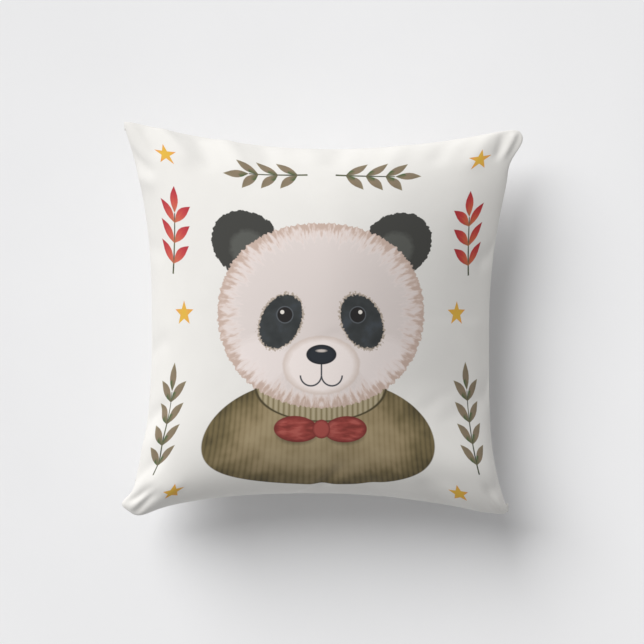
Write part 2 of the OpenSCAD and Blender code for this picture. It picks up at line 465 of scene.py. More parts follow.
@dataclass(frozen=True)
class Moulded:
    """Smooth nylon of the coil teeth, with a slight haze."""

    name: str
    colour: Colour
    shade: Colour

    def make(self) -> bpy.types.Material:
        """The nylon's material."""
        shader = Shader(self.name)
        x, y, z = shader.place()
        haze = shader.noise(shader.vector(x, y, z), 1.2, 2.0)
        colour = shader.ramp(haze, [(0.35, self.shade), (0.65, self.colour)])
        varying = {"Base Color": colour, "Roughness": haze * 0.3 + 0.18}
        return shader.surface({"Subsurface Weight": 0.1, "Subsurface Scale": 0.001}, varying, haze, 0.02)


@dataclass(frozen=True)
class Plated:
    """Nickel plate: brushed one way, dulled where hands and the pull rub it."""

    name: str
    colour: Colour
    worn: Colour

    def make(self) -> bpy.types.Material:
        """The plating's material."""
        shader = Shader(self.name)
        x, y, z = shader.place()
        brushed = shader.noise(shader.vector(x * 0.6, y * 9.0, z * 9.0), 1.0, 3.0)
        rub = shader.noise(shader.vector(x, y, z), 0.5, 4.0)
        colour = shader.mix((rub - 0.45).over(0.25), self.colour, self.worn)
        rough = brushed * 0.25 + rub * 0.15 + 0.12
        return shader.surface({"Metallic": 1.0}, {"Base Color": colour, "Roughness": rough}, brushed, 0.02)


@dataclass(frozen=True)
class Bonded:
    """Bonded lining: pressed points in rows over random fibres."""

    name: str
    colour: Colour
    shade: Colour
    step: float = 2.2

    def make(self) -> bpy.types.Material:
        """The lining's material."""
        shader = Shader(self.name)
        x, y, z = shader.place()
        turn = 2 * math.pi / self.step
        points = (((x + y) * turn).sine() * ((x - y) * turn).sine() - 0.55).over(0.3)
        web = shader.noise(shader.vector(x, y, z), 1.1, 5.0)
        bonded = shader.ramp(web, [(0.35, self.shade), (0.65, self.colour)])
        colour = shader.mix(points, bonded, self.shade)
        varying = {"Base Color": colour, "Roughness": 0.85 - points * 0.3}
        return shader.surface({"Sheen Weight": 0.1}, varying, web - points * 0.6, 0.12)


@dataclass(frozen=True)
class Fluff:
    """Loose fibre: tangled strands on soft lumps."""

    name: str
    colour: Colour
    shade: Colour

    def make(self) -> bpy.types.Material:
        """The fibre's material."""
        shader = Shader(self.name)
        x, y, z = shader.place()
        lumps = shader.noise(shader.vector(x, y, z), 0.05, 3.0)
        bent = lumps * 30.0
        strands = shader.noise(shader.vector((x + bent) * 0.3, y * 1.8, z * 1.8), 1.0, 6.0)
        colour = shader.ramp(lumps * 0.5 + strands * 0.5, [(0.35, self.shade), (0.6, self.colour)])
        varying = {"Base Color": colour, "Roughness": strands * 0.2 + 0.75}
        return shader.surface({"Sheen Weight": 0.5}, varying, strands, 0.6)


@dataclass(frozen=True)
class Paper:
    """The studio's pale floor, with a trace of unevenness."""

    name: str
    colour: Colour
    shade: Colour

    def make(self) -> bpy.types.Material:
        """The floor's material."""
        shader = Shader(self.name)
        x, y, _ = shader.place()
        cloud = shader.noise(shader.vector(x, y), 0.004, 3.0)
        colour = shader.ramp(cloud, [(0.3, self.shade), (0.7, self.colour)])
        dull = {"Roughness": 0.9, "Specular IOR Level": 0.1}
        return shader.surface(dull, {"Base Color": colour}, cloud, 0.01)


# The print


def ray_outline(centre: Point, corners: Sequence[Point], reach: float, rays: int) -> list[Point]:
    """Turns a painted outline into a curve of radius over angle.

    Args:
        centre: A point inside the outline that sees all of it.
        corners: The outline's corners in order.
        reach: The radius that the curve's height of 1 stands for.
        rays: How many evenly spaced rays are added to those through the corners.

    Returns:
        The curve's points, over one turn from the negative x axis.
    """
    rim = np.array(corners, float) - np.array(centre)
    start, end = rim, np.roll(rim, -1, axis=0)
    step = end - start
    turns = {round(float(t), 4) for t in np.linspace(0.0, 1.0, rays + 1)}
    turns |= {round(math.atan2(y, x) / math.tau + 0.5, 4) for x, y in rim}
    points = []
    for turn in sorted(turns):
        angle = (turn - 0.5) * math.tau
        way = np.array([math.cos(angle), math.sin(angle)])
        skew = way[0] * step[:, 1] - way[1] * step[:, 0]
        skew = np.where(np.abs(skew) < 1e-9, 1e-9, skew)
        far = (start[:, 0] * step[:, 1] - start[:, 1] * step[:, 0]) / skew
        part = (start[:, 0] * way[1] - start[:, 1] * way[0]) / skew
        hits = far[(part > -1e-3) & (part < 1 + 1e-3) & (far > 0)]
        points.append((turn, float(hits.max()) / reach if len(hits) else 0.0))
    return points


class Canvas:
    """The flat cloth as a painter's ground: where a point lies on it, and the colour laid so far."""

    def __init__(self, shader: Shader, cloth: Woven) -> None:
        """Reads the place on the flat cut and lays the bare cloth.

        Args:
            shader: The shader to paint in.
            cloth: The cloth under the print.
        """
        self.shader = shader
        cut = shader.node("ShaderNodeAttribute", {"attribute_name": StuffedCover.CUT}).outputs["Vector"]
        parts = shader.node("ShaderNodeSeparateXYZ", None, {0: cut})
        self.x = Value(shader, parts.outputs[0])
        self.y = Value(shader, parts.outputs[1])
        self.colour = cloth.cloth(shader, self.x, self.y)

    def lay(self, mask: Number, colour: Input) -> None:
        """Lays a colour through a mask over what is there."""
        self.colour = self.shader.mix(mask, self.colour, colour)

    def blur(self, scale: float, detail: float = 2.0, stretch: Point = (1.0, 1.0)) -> Value:
        """Noise over the cloth, centred on 0.

        Args:
            scale: Its features for each millimetre.
            detail: How many finer layers it has.
            stretch: Factors on the two directions.

        Returns:
            The noise, mostly from -0.2 to 0.2.
        """
        at = self.shader.vector(self.x * stretch[0], self.y * stretch[1])
        return self.shader.noise(at, scale, detail) - 0.5

    def outline(
        self, centre: Point, corners: Sequence[Point], rays: int, reach: float
    ) -> tuple[Value, Value]:
        """Distances inside a painted outline.

        Args:
            centre: A point inside the outline that sees all of it.
            corners: The outline's corners in order.
            rays: How many rays its curve has besides those through its corners.
            reach: More than the outline's largest radius.

        Returns:
            The depth inside the outline, and the distance from its centre.
        """
        across, up = self.x - centre[0], self.y - centre[1]
        turn = self.shader.math("ARCTAN2", up, across).times_plus(1 / math.tau, 0.5)
        radius = (across * across + up * up) ** 0.5
        rim = self.shader.curve(turn, ray_outline(centre, corners, reach, rays))
        return rim * reach - radius, radius

    def measured(self, foot: Point, tip: Point) -> tuple[Value, Value]:
        """Measures the cloth along a line.

        Args:
            foot: Where the line starts.
            tip: Where it ends.

        Returns:
            The share of the way from foot to tip, and the distance to the left of the line.
        """
        run, rise = tip[0] - foot[0], tip[1] - foot[1]
        length = math.hypot(run, rise)
        cos, sin = run / length, rise / length
        level = -(foot[0] * cos + foot[1] * sin)
        along = self.x.times_plus(cos, self.y.times_plus(sin, level)) / length
        offset = foot[0] * sin - foot[1] * cos
        return along, self.x.times_plus(-sin, self.y.times_plus(cos, offset))


class Wash(Enum):
    """The colours of a leaf from its foot to its tip, on the left and on the right of its vein."""

    RED = (
        (
            (0.0, ink(176, 110, 78)),
            (0.3, ink(194, 84, 74)),
            (0.7, ink(178, 58, 66)),
            (1.0, ink(160, 38, 52)),
        ),
        (
            (0.0, ink(172, 104, 74)),
            (0.25, ink(198, 96, 76)),
            (0.6, ink(184, 66, 68)),
            (1.0, ink(166, 44, 56)),
        ),
    )
    CRIMSON = (
        (
            (0.0, ink(150, 96, 62)),
            (0.3, ink(184, 70, 58)),
            (0.7, ink(172, 46, 52)),
            (1.0, ink(150, 30, 44)),
        ),
        (
            (0.0, ink(168, 108, 64)),
            (0.25, ink(196, 98, 64)),
            (0.6, ink(184, 62, 58)),
            (1.0, ink(160, 38, 48)),
        ),
    )
    GROVE = (
        (
            (0.0, ink(106, 92, 76)),
            (0.1, ink(74, 90, 56)),
            (0.34, ink(82, 98, 64)),
            (0.38, ink(126, 112, 94)),
            (1.0, ink(136, 124, 98)),
        ),
        (
            (0.0, ink(110, 96, 78)),
            (0.4, ink(132, 116, 94)),
            (0.8, ink(120, 108, 88)),
            (1.0, ink(132, 124, 92)),
        ),
    )


LEAF_PROFILE = (
    (0.0, 0.06),
    (0.1, 0.36),
    (0.25, 0.76),
    (0.4, 0.97),
    (0.5, 1.0),
    (0.65, 0.88),
    (0.82, 0.5),
    (1.0, 0.0),
)


@dataclass(frozen=True)
class Leaf:
    """A painted leaf: its foot, tip, width, bow to the left of its length, and wash."""

    foot: Point
    tip: Point
    width: float
    wash: Wash
    bow: float

    def paint(self, canvas: Canvas) -> None:
        """Lays the leaf on the canvas, streaked along its length.

        Args:
            canvas: The cloth to paint.
        """
        shader = canvas.shader
        length = math.dist(self.foot, self.tip)
        along, across = canvas.measured(self.foot, self.tip)
        across = across - (along - along * along) * (4 * self.bow)
        half = shader.curve(along, LEAF_PROFILE) * (self.width / 2)
        mask = (half - abs(across)).over(0.55)
        streaks = shader.noise(shader.vector(along * (length * 0.05), across * 0.32), 1.0, 3.0) - 0.5
        tone = along + streaks * 0.5
        side = (across / (0.3 * self.width) + streaks * 3.0 + 0.5).clipped()
        left, right = self.wash.value
        colour = shader.mix(side, shader.ramp(tone, right), shader.ramp(tone, left))
        pale = (streaks - 0.08).over(0.5) * 0.35
        canvas.lay(mask, shader.mix(pale, colour, ink(226, 214, 194)))


@dataclass(frozen=True)
class Stem:
    """A painted straight stem, thinning from its foot to its tip."""

    foot: Point
    tip: Point
    thick: float = 2.2
    thin: float = 1.3
    bleed: float = 0.15

    def paint(self, canvas: Canvas) -> None:
        """Lays the stem on the canvas.

        Args:
            canvas: The cloth to paint.
        """
        part, across = canvas.measured(self.foot, self.tip)
        half = part.times_plus((self.thin - self.thick) / 2, self.thick / 2 + self.bleed)
        ends = (part - part * part) * 60.0
        tone = canvas.blur(0.12) + 0.5
        green = canvas.shader.ramp(tone, [(0.35, ink(44, 50, 44)), (0.65, ink(92, 96, 66))])
        canvas.lay((half - abs(across)).least(ends).over(0.5), green)


@dataclass(frozen=True)
class Star:
    """A painted star with equal points: its middle, and how far its points and notches reach."""

    middle: Point
    reach: float
    notch: float = 5.0
    points: int = 5

    def corners(self) -> list[Point]:
        """The star's points and the notches between them, in order round it from the top."""
        found = []
        for k in range(2 * self.points):
            way = math.radians(90 + 180 * k / self.points)
            out = self.notch if k % 2 else self.reach
            found.append((self.middle[0] + out * math.cos(way), self.middle[1] + out * math.sin(way)))
        return found

    def paint(self, canvas: Canvas) -> None:
        """Lays the star on the canvas, gold in the middle and olive at its points.

        Args:
            canvas: The cloth to paint.
        """
        edge, radius = canvas.outline(self.middle, self.corners(), rays=120, reach=26.0)
        tone = radius / 22.0 + canvas.blur(0.11, 3.0) * 0.9
        stops = [
            (0.1, ink(214, 172, 66)),
            (0.35, ink(216, 164, 72)),
            (0.5, ink(222, 150, 78)),
            (0.7, ink(190, 148, 66)),
            (0.95, ink(112, 112, 74)),
        ]
        canvas.lay(edge.over(0.5), canvas.shader.ramp(tone, stops))


@dataclass(frozen=True)
class Sprig:
    """A plain sprig: a straight stem, evenly spaced pairs of leaves, and one leaf at its tip."""

    foot: Point
    tip: Point
    pairs: int
    size: float
    wash: Wash
    spread: float = 42.0
    slimness: float = 0.36

    def leaf(self, base: Point, turn: float, bow: float) -> Leaf:
        """One leaf of the sprig.

        Args:
            base: Where it leaves the stem.
            turn: Its turn from the stem's direction, in degrees.
            bow: Its bow to the left.

        Returns:
            The leaf.
        """
        heading = math.atan2(self.tip[1] - self.foot[1], self.tip[0] - self.foot[0])
        way = heading + math.radians(turn)
        end = (base[0] + self.size * math.cos(way), base[1] + self.size * math.sin(way))
        return Leaf(base, end, self.size * self.slimness, self.wash, bow)

    def paint(self, canvas: Canvas) -> None:
        """Lays the stem and then its leaves on the canvas.

        Args:
            canvas: The cloth to paint.
        """
        Stem(self.foot, self.tip).paint(canvas)
        for k in range(self.pairs):
            share = (k + 0.5) / self.pairs
            base = tuple(low + (high - low) * share for low, high in zip(self.foot, self.tip))
            self.leaf(base, -self.spread, 1.0).paint(canvas)
            self.leaf(base, self.spread, -1.0).paint(canvas)
        self.leaf(self.tip, 0.0, 0.5).paint(canvas)


class Zone(Enum):
    """The parts of the front panel that carry the print, each with its own motifs."""

    FACE = 0
    LEFT = 1
    CORNER = 2
    TOP = 3
    RIGHT = 4
    BARE = 5


LEFT_MOTIFS = (Sprig((-150, 38), (-142, 92), 3, 26.0, Wash.RED), Star((-141, 150), 13.0))
CORNER_MOTIFS = (
    Sprig((-156, -136), (-150, -62), 4, 25.0, Wash.GROVE),
    Star((-137, 4), 11.5),
    Star((-126, -162), 11.0),
)
TOP_MOTIFS = (
    Sprig((12, 144), (64, 140), 3, 24.0, Wash.GROVE),
    Sprig((-12, 144), (-64, 140), 3, 24.0, Wash.GROVE),
    Star((141, 150), 13.0),
)
RIGHT_MOTIFS = (
    Sprig((150, 38), (142, 92), 3, 26.0, Wash.CRIMSON),
    Sprig((156, -136), (150, -62), 4, 25.0, Wash.GROVE),
    Star((137, 4), 11.5),
    Star((126, -162), 11.0),
)


@dataclass(frozen=True)
class Oval:
    """A plain painted oval, turned by its lean in degrees."""

    centre: Point
    half: Point
    lean: float = 0.0

    def depth(self, x: Value, y: Value) -> Value:
        """How deep a place lies inside the oval.

        Args:
            x: Position across.
            y: Position up.

        Returns:
            The depth in millimetres, near enough close to the edge.
        """
        turn = math.radians(self.lean)
        across, up = x - self.centre[0], y - self.centre[1]
        along = (across * math.cos(turn) + up * math.sin(turn)) / self.half[0]
        off = (up * math.cos(turn) - across * math.sin(turn)) / self.half[1]
        return (1.0 - (along * along + off * off) ** 0.5) * min(self.half)


@dataclass(frozen=True)
class PandaPortrait:
    """A plain panda in a ribbed jumper with a bow tie, built from ovals about an upright axis."""

    ear: Oval = Oval((72, 70), (33, 31))
    ear_shade: Oval = Oval((69, 65), (20, 19))
    body: Oval = Oval((0, -112), (110, 57))
    neck: Oval = Oval((0, -62), (62, 34))
    head: Oval = Oval((0, 4), (101, 88))
    cheek: Oval = Oval((56, -38), (30, 26))
    patch: Oval = Oval((39, -3), (19, 27), 28.0)
    eye: Oval = Oval((35, 3), (7.5, 7.5))
    eye_light: Oval = Oval((37.5, 5.5), (2.2, 2.2))
    muzzle: Oval = Oval((0, -44), (38, 28))
    nose: Oval = Oval((0, -34), (15, 9.5))
    nose_light: Oval = Oval((0, -30.5), (6.5, 1.8))
    loop: Oval = Oval((23, -104), (21, 13), 6.0)
    knot: Oval = Oval((0, -104), (8.5, 9.5))
    rib: float = 5.0
    mouth_line: float = -53.0
    smile: float = 10.0
    line_half: float = 1.1

    def paint(self, canvas: Canvas) -> None:
        """Lays the whole portrait on the canvas.

        Args:
            canvas: The cloth to paint.
        """
        side, up = abs(canvas.x), canvas.y
        self.paint_ears(canvas, side, up)
        self.paint_jumper(canvas, side, up)
        self.paint_head(canvas, side, up)
        self.paint_bow(canvas, side, up)
        self.paint_eyes(canvas, side, up)
        self.paint_muzzle(canvas, side, up)

    def paint_ears(self, canvas: Canvas, side: Value, up: Value) -> None:
        """Lays the two round ears, with a softer grey in each.

        Args:
            canvas: The cloth to paint.
            side: Distance from the axis.
            up: Height on the cloth.
        """
        fuzz = canvas.blur(0.22) * 5.0
        canvas.lay((self.ear.depth(side, up) + fuzz).over(0.6), ink(62, 62, 59))
        canvas.lay((self.ear_shade.depth(side, up) + fuzz).over(5.0), ink(84, 85, 81))

    def paint_jumper(self, canvas: Canvas, side: Value, up: Value) -> None:
        """Lays the ribbed jumper and its neck band.

        Args:
            canvas: The cloth to paint.
            side: Distance from the axis.
            up: Height on the cloth.
        """
        shader = canvas.shader
        body = self.body.depth(side, up)
        ribs = abs((side * (math.pi / self.rib)).sine())
        tone = body.least(26.0) / 40.0 + ribs * 0.2 + canvas.blur(0.05, 2.0) * 0.8
        wool = [
            (0.0, ink(78, 69, 46)),
            (0.3, ink(112, 99, 68)),
            (0.6, ink(142, 126, 94)),
            (0.9, ink(158, 142, 110)),
        ]
        canvas.lay(body.over(0.6), shader.ramp(tone, wool))
        band = self.neck.depth(side, up).least(body + 2.0)
        canvas.lay((band + 1.4).over(0.8), ink(74, 66, 44))
        canvas.lay(band.over(0.8), shader.mix(ribs, ink(122, 110, 78), ink(172, 160, 132)))

    def paint_bow(self, canvas: Canvas, side: Value, up: Value) -> None:
        """Lays the plain red bow tie.

        Args:
            canvas: The cloth to paint.
            side: Distance from the axis.
            up: Height on the cloth.
        """
        shader = canvas.shader
        loop, knot = self.loop.depth(side, up), self.knot.depth(side, up)
        canvas.lay(self.loop.depth(side, up + 4.0).over(4.0) * 0.6, ink(70, 62, 44))
        satin = canvas.blur(0.12, 2.0, (0.5, 1.6)) + 0.5
        folds = [(0.36, ink(124, 52, 46)), (0.5, ink(150, 66, 60)), (0.64, ink(170, 86, 78))]
        red = shader.ramp(satin, folds)
        rim = ink(108, 40, 38)
        canvas.lay(loop.over(0.6), shader.mix(loop.over(3.5), rim, red))
        canvas.lay(knot.over(0.6), shader.mix(knot.over(2.5), rim, ink(158, 74, 68)))

    def paint_head(self, canvas: Canvas, side: Value, up: Value) -> None:
        """Lays the head's pale fur, with short strokes all round its edge.

        Args:
            canvas: The cloth to paint.
            side: Distance from the axis.
            up: Height on the cloth.
        """
        shader = canvas.shader
        edge = self.head.depth(side, up)
        turn = shader.math("ARCTAN2", up - self.head.centre[1], side).times_plus(1 / math.tau, 0.5)
        strokes = shader.noise(shader.vector(turn * 150.0, edge * 0.09), 1.0, 3.0) - 0.5
        fur = [
            (0.0, ink(190, 168, 156)),
            (0.2, ink(203, 184, 174)),
            (0.4, ink(214, 200, 194)),
            (0.7, ink(219, 208, 204)),
            (1.0, ink(213, 203, 199)),
        ]
        canvas.lay((edge + strokes * 9.0).over(0.6), shader.ramp(edge / 18.0 + strokes * 2.6 - 0.1, fur))
        cheek = self.cheek.depth(side, up).least(edge - 4.0) + strokes * 16.0
        canvas.lay(cheek.over(8.0) * 0.6, ink(230, 220, 217))

    def paint_eyes(self, canvas: Canvas, side: Value, up: Value) -> None:
        """Lays the oval eye patches, the round eyes in them, and a light in each.

        Args:
            canvas: The cloth to paint.
            side: Distance from the axis.
            up: Height on the cloth.
        """
        shader = canvas.shader
        edge = self.patch.depth(side, up)
        fringe = canvas.blur(0.42, 2.0)
        canvas.lay((edge + 1.6 + fringe * 8.0).over(1.0) * 0.7, ink(150, 134, 112))
        soft = canvas.blur(0.06, 2.0) + 0.5
        coal = [(0.36, ink(50, 53, 54)), (0.52, ink(57, 60, 61)), (0.68, ink(64, 69, 74))]
        dark = shader.ramp(soft, coal)
        canvas.lay((edge + fringe * 5.0).over(0.6), dark)
        eye = self.eye.depth(side, up)
        canvas.lay((eye + 1.0).over(0.6), ink(86, 90, 94))
        canvas.lay(eye.over(0.6), ink(36, 34, 34))
        canvas.lay(self.eye_light.depth(side, up).over(0.5), ink(222, 216, 208))

    def paint_muzzle(self, canvas: Canvas, side: Value, up: Value) -> None:
        """Lays the pale muzzle, the nose with its light, and the mouth under it.

        Args:
            canvas: The cloth to paint.
            side: Distance from the axis.
            up: Height on the cloth.
        """
        shader = canvas.shader
        muzzle = self.muzzle.depth(side, up) + canvas.blur(0.2, 2.0) * 2.0
        rim = shader.mix(muzzle.over(6.0), ink(200, 184, 174), ink(231, 221, 217))
        canvas.lay(muzzle.over(1.5), rim)
        nose = self.nose.depth(side, up)
        across, rise = side - self.smile, up - self.mouth_line
        arc = self.line_half - abs((across * across + rise * rise) ** 0.5 - self.smile)
        smile = arc.least(self.mouth_line - up)
        stalk = (self.line_half - side).least(-40.0 - up).least(rise + 1.0)
        canvas.lay(smile.most(stalk).over(0.7), ink(60, 64, 70))
        canvas.lay(nose.over(0.6), shader.mix(nose.over(3.0), ink(30, 33, 38), ink(42, 46, 52)))
        canvas.lay(self.nose_light.depth(side, up).over(1.0), ink(196, 186, 180))


@dataclass(frozen=True)
class PrintedCloth:
    """The front panel's cloth with its print, one material for each zone."""

    name: str
    cloth: Woven
    bare_beyond: float = 194.0
    face_half: float = 113.0
    face_top: float = 107.0
    side_top: float = 124.0
    corner_top: float = 22.0

    def zone(self, x: float, y: float) -> Zone:
        """Which zone a point of the flat cloth is in.

        Args:
            x: The point's place across the cloth.
            y: Its place up the cloth.

        Returns:
            The zone.
        """
        if max(abs(x), abs(y)) > self.bare_beyond:
            return Zone.BARE
        if abs(x) < self.face_half:
            return Zone.FACE if y < self.face_top else Zone.TOP
        if x > 0:
            return Zone.TOP if y > self.side_top else Zone.RIGHT
        return Zone.LEFT if y > self.corner_top else Zone.CORNER

    def make(self) -> list[bpy.types.Material]:
        """Paints every zone.

        Returns:
            The zones' materials, in the zones' order.
        """
        motifs = {
            Zone.FACE: (PandaPortrait(),),
            Zone.LEFT: LEFT_MOTIFS,
            Zone.CORNER: CORNER_MOTIFS,
            Zone.TOP: TOP_MOTIFS,
            Zone.RIGHT: RIGHT_MOTIFS,
            Zone.BARE: (),
        }
        made = []
        for zone in Zone:
            shader = Shader(f"{self.name}_{zone.name.lower()}")
            canvas = Canvas(shader, self.cloth)
            for motif in motifs[zone]:
                motif.paint(canvas)
            made.append(self.cloth.close(shader, canvas.x, canvas.y, canvas.colour))
        return made


# Mesh making


def add_piece(
    name: str, points: np.ndarray, faces: Sequence[Sequence[int]], materials: Sequence[bpy.types.Material]
) -> bpy.types.Object:
    """Makes a smooth-shaded mesh object from points in millimetres.

    Args:
        name: The piece's name.
        points: An array of points.
        faces: Each face's point numbers.
        materials: The materials for its slots.

    Returns:
        The object, linked to the scene.
    """
    mesh = bpy.data.meshes.new(name)
    mesh.from_pydata((np.asarray(points, float) * MM).tolist(), [], [list(face) for face in faces])
    mesh.update()
    mesh.shade_smooth()
    for material in materials:
        mesh.materials.append(material)
    piece = bpy.data.objects.new(name, mesh)
    bpy.context.scene.collection.objects.link(piece)
    return piece


def bake_modifiers(piece: bpy.types.Object) -> None:
    """Applies a piece's modifiers to its mesh."""
    graph = bpy.context.evaluated_depsgraph_get()
    mesh = bpy.data.meshes.new_from_object(piece.evaluated_get(graph), depsgraph=graph)
    piece.modifiers.clear()
    old, piece.data = piece.data, mesh
    mesh.name = piece.name
    bpy.data.meshes.remove(old)


def attach(piece: bpy.types.Object, body: str, slot: str, *nodes: str) -> bpy.types.Object:
    """Lets a finished piece ride on a body, and stands it in for CAD nodes.

    Args:
        piece: The piece.
        body: The body that it moves with.
        slot: The record's material slot; not used.
        nodes: The CAD nodes that it replaces.

    Returns:
        The piece.
    """
    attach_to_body(piece, body)
    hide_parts(*nodes)
    log.info("%s: %d faces, on %s", piece.name, len(piece.data.polygons), body)
    return piece


class Strands:
    """A growing set of round strands that become one mesh."""

    def __init__(self, sides: int) -> None:
        """Starts with no strands.

        Args:
            sides: The number of flats round each strand.
        """
        self.sides = sides
        self.points: list[np.ndarray] = []
        self.faces: list[list[int]] = []
        self.count = 0

    def add(self, path: np.ndarray, radii: np.ndarray) -> None:
        """Adds one closed strand along a path.

        Args:
            path: The points of its centre line.
            radii: Its radius at each point.
        """
        way = np.gradient(path, axis=0)
        way /= np.linalg.norm(way, axis=1)[:, None]
        first = np.cross(way, [0.0, 0.0, 1.0])
        flat = np.linalg.norm(first, axis=1) < 1e-3
        first[flat] = np.cross(way[flat], [0.0, 1.0, 0.0])
        first /= np.linalg.norm(first, axis=1)[:, None]
        second = np.cross(way, first)
        turns = np.linspace(0, 2 * math.pi, self.sides, endpoint=False)
        cos, sin = np.cos(turns)[None, :, None], np.sin(turns)[None, :, None]
        ring = first[:, None, :] * cos + second[:, None, :] * sin
        points = path[:, None, :] + ring * radii[:, None, None]
        self.points.append(points.reshape(-1, 3))
        last = len(path) - 1
        start = self.count
        for k in range(last):
            for q in range(self.sides):
                r = (q + 1) % self.sides
                a, b = start + k * self.sides, start + (k + 1) * self.sides
                self.faces.append([a + q, a + r, b + r, b + q])
        self.faces.append([start + q for q in reversed(range(self.sides))])
        self.faces.append([start + last * self.sides + q for q in range(self.sides)])
        self.count += len(path) * self.sides

    def piece(self, name: str, material: bpy.types.Material) -> bpy.types.Object:
        """Makes the strands into one object."""
        return add_piece(name, np.concatenate(self.points), self.faces, [material])


def grid_faces(numbers: np.ndarray, flipped: bool = False) -> np.ndarray:
    """The four-cornered faces between a grid of point numbers, turned over if flipped."""
    corners = (numbers[:-1, :-1], numbers[:-1, 1:], numbers[1:, 1:], numbers[1:, :-1])
    faces = np.stack(corners, axis=2).reshape(-1, 4)
    return faces[:, ::-1] if flipped else faces


def into_cloth(piece: bpy.types.Object, thickness: float) -> None:
    """Smooths a sheet and gives it the thickness of cloth.

    Args:
        piece: The sheet.
        thickness: Its thickness in millimetres, laid inwards.
    """
    finer = piece.modifiers.new("finer", "SUBSURF")
    finer.levels = finer.render_levels = 1
    thick = piece.modifiers.new("thick", "SOLIDIFY")
    thick.thickness = thickness * MM
    thick.offset = -1.0
    bake_modifiers(piece)


def closed_loft(rings: np.ndarray) -> tuple[np.ndarray, list[list[int]]]:
    """Skins rings of points and closes the two ends.

    Args:
        rings: An array of rings, each of the same number of points.

    Returns:
        The points and the faces.
    """
    count, sides = rings.shape[:2]
    faces = [
        [k * sides + q, k * sides + (q + 1) % sides, (k + 1) * sides + (q + 1) % sides, (k + 1) * sides + q]
        for k in range(count - 1)
        for q in range(sides)
    ]
    faces.append(list(reversed(range(sides))))
    faces.append([(count - 1) * sides + q for q in range(sides)])
    return rings.reshape(-1, 3), faces


def measured_line(line: np.ndarray) -> tuple[np.ndarray, float]:
    """The distance along a line at each of its points, and its whole length."""
    steps = np.linalg.norm(np.diff(line, axis=0), axis=1)
    far = np.concatenate([[0.0], np.cumsum(steps)])
    return far, float(far[-1])


def along_line(line: np.ndarray, at: np.ndarray) -> np.ndarray:
    """The points at given distances along a line."""
    far, _ = measured_line(line)
    return np.stack([np.interp(at, far, line[:, axis]) for axis in range(3)], axis=1)


def smooth(part: np.ndarray) -> np.ndarray:
    """A number from 0 to 1 eased at both ends."""
    held = np.clip(part, 0.0, 1.0)
    return held * held * (3 - 2 * held)


# The cover


class Side(Enum):
    """A side of the cushion, by its outward direction."""

    TOP = (0, 1)
    LEFT = (-1, 0)
    RIGHT = (1, 0)
    ZIP = (0, -1)


@dataclass(frozen=True)
class Crease:
    """A soft fold in the stuffed cloth, between two points of its flat cut.

    A positive rise lifts the cloth along the line and a negative one sinks it. With a lean, one flank
    of the line rises and the other sinks, as in a fold that lies over.
    """

    start: Point
    end: Point
    width: float
    rise: float
    lean: float = 0.0

    def lift(self, x: np.ndarray, y: np.ndarray) -> np.ndarray:
        """How far the fold moves each point of the cloth outwards.

        Args:
            x: Places across the flat cloth.
            y: Places up the flat cloth.

        Returns:
            Distances in millimetres.
        """
        run, up = self.end[0] - self.start[0], self.end[1] - self.start[1]
        length = math.hypot(run, up)
        along = ((x - self.start[0]) * run + (y - self.start[1]) * up) / (length * length)
        across = ((y - self.start[1]) * run - (x - self.start[0]) * up) / (length * self.width)
        ends = smooth(along / 0.3 + 0.3) * smooth((1 - along) / 0.3 + 0.3)
        hump = np.exp(-(across**2))
        return ends * hump * (self.rise + self.lean * 1.6 * across)


@dataclass(frozen=True)
class Tug:
    """A pull on both cloths round one place of their flat cut, as a corner's own fold gives."""

    place: Point
    pull: Point
    reach: float

    def weight(self, x: np.ndarray, y: np.ndarray) -> np.ndarray:
        """How strongly each point of the flat cloth is pulled, from 0 to 1."""
        return np.exp(-((x - self.place[0]) ** 2 + (y - self.place[1]) ** 2) / self.reach**2)


@dataclass(frozen=True)
class Flank:
    """How one half of the cushion falls away: the fullness of its middle and the steepness of its rim."""

    fullness: float
    steepness: float
    soft: float = 0.25

    def left_of(self, part: np.ndarray) -> np.ndarray:
        """The share of the crown's height that is left at a share of the way out."""
        start = self.soft**self.fullness
        whole = (1 + self.soft**2) ** (self.fullness / 2) - start
        gone = ((part**2 + self.soft**2) ** (self.fullness / 2) - start) / whole
        return np.clip(1 - gone, 0, 1) ** self.steepness


@dataclass(frozen=True)
class Corner:
    """How one corner stands out: its two reaches, how late each side turns out, and its squareness."""

    reach_x: float
    late_x: float
    reach_y: float
    late_y: float
    square: float


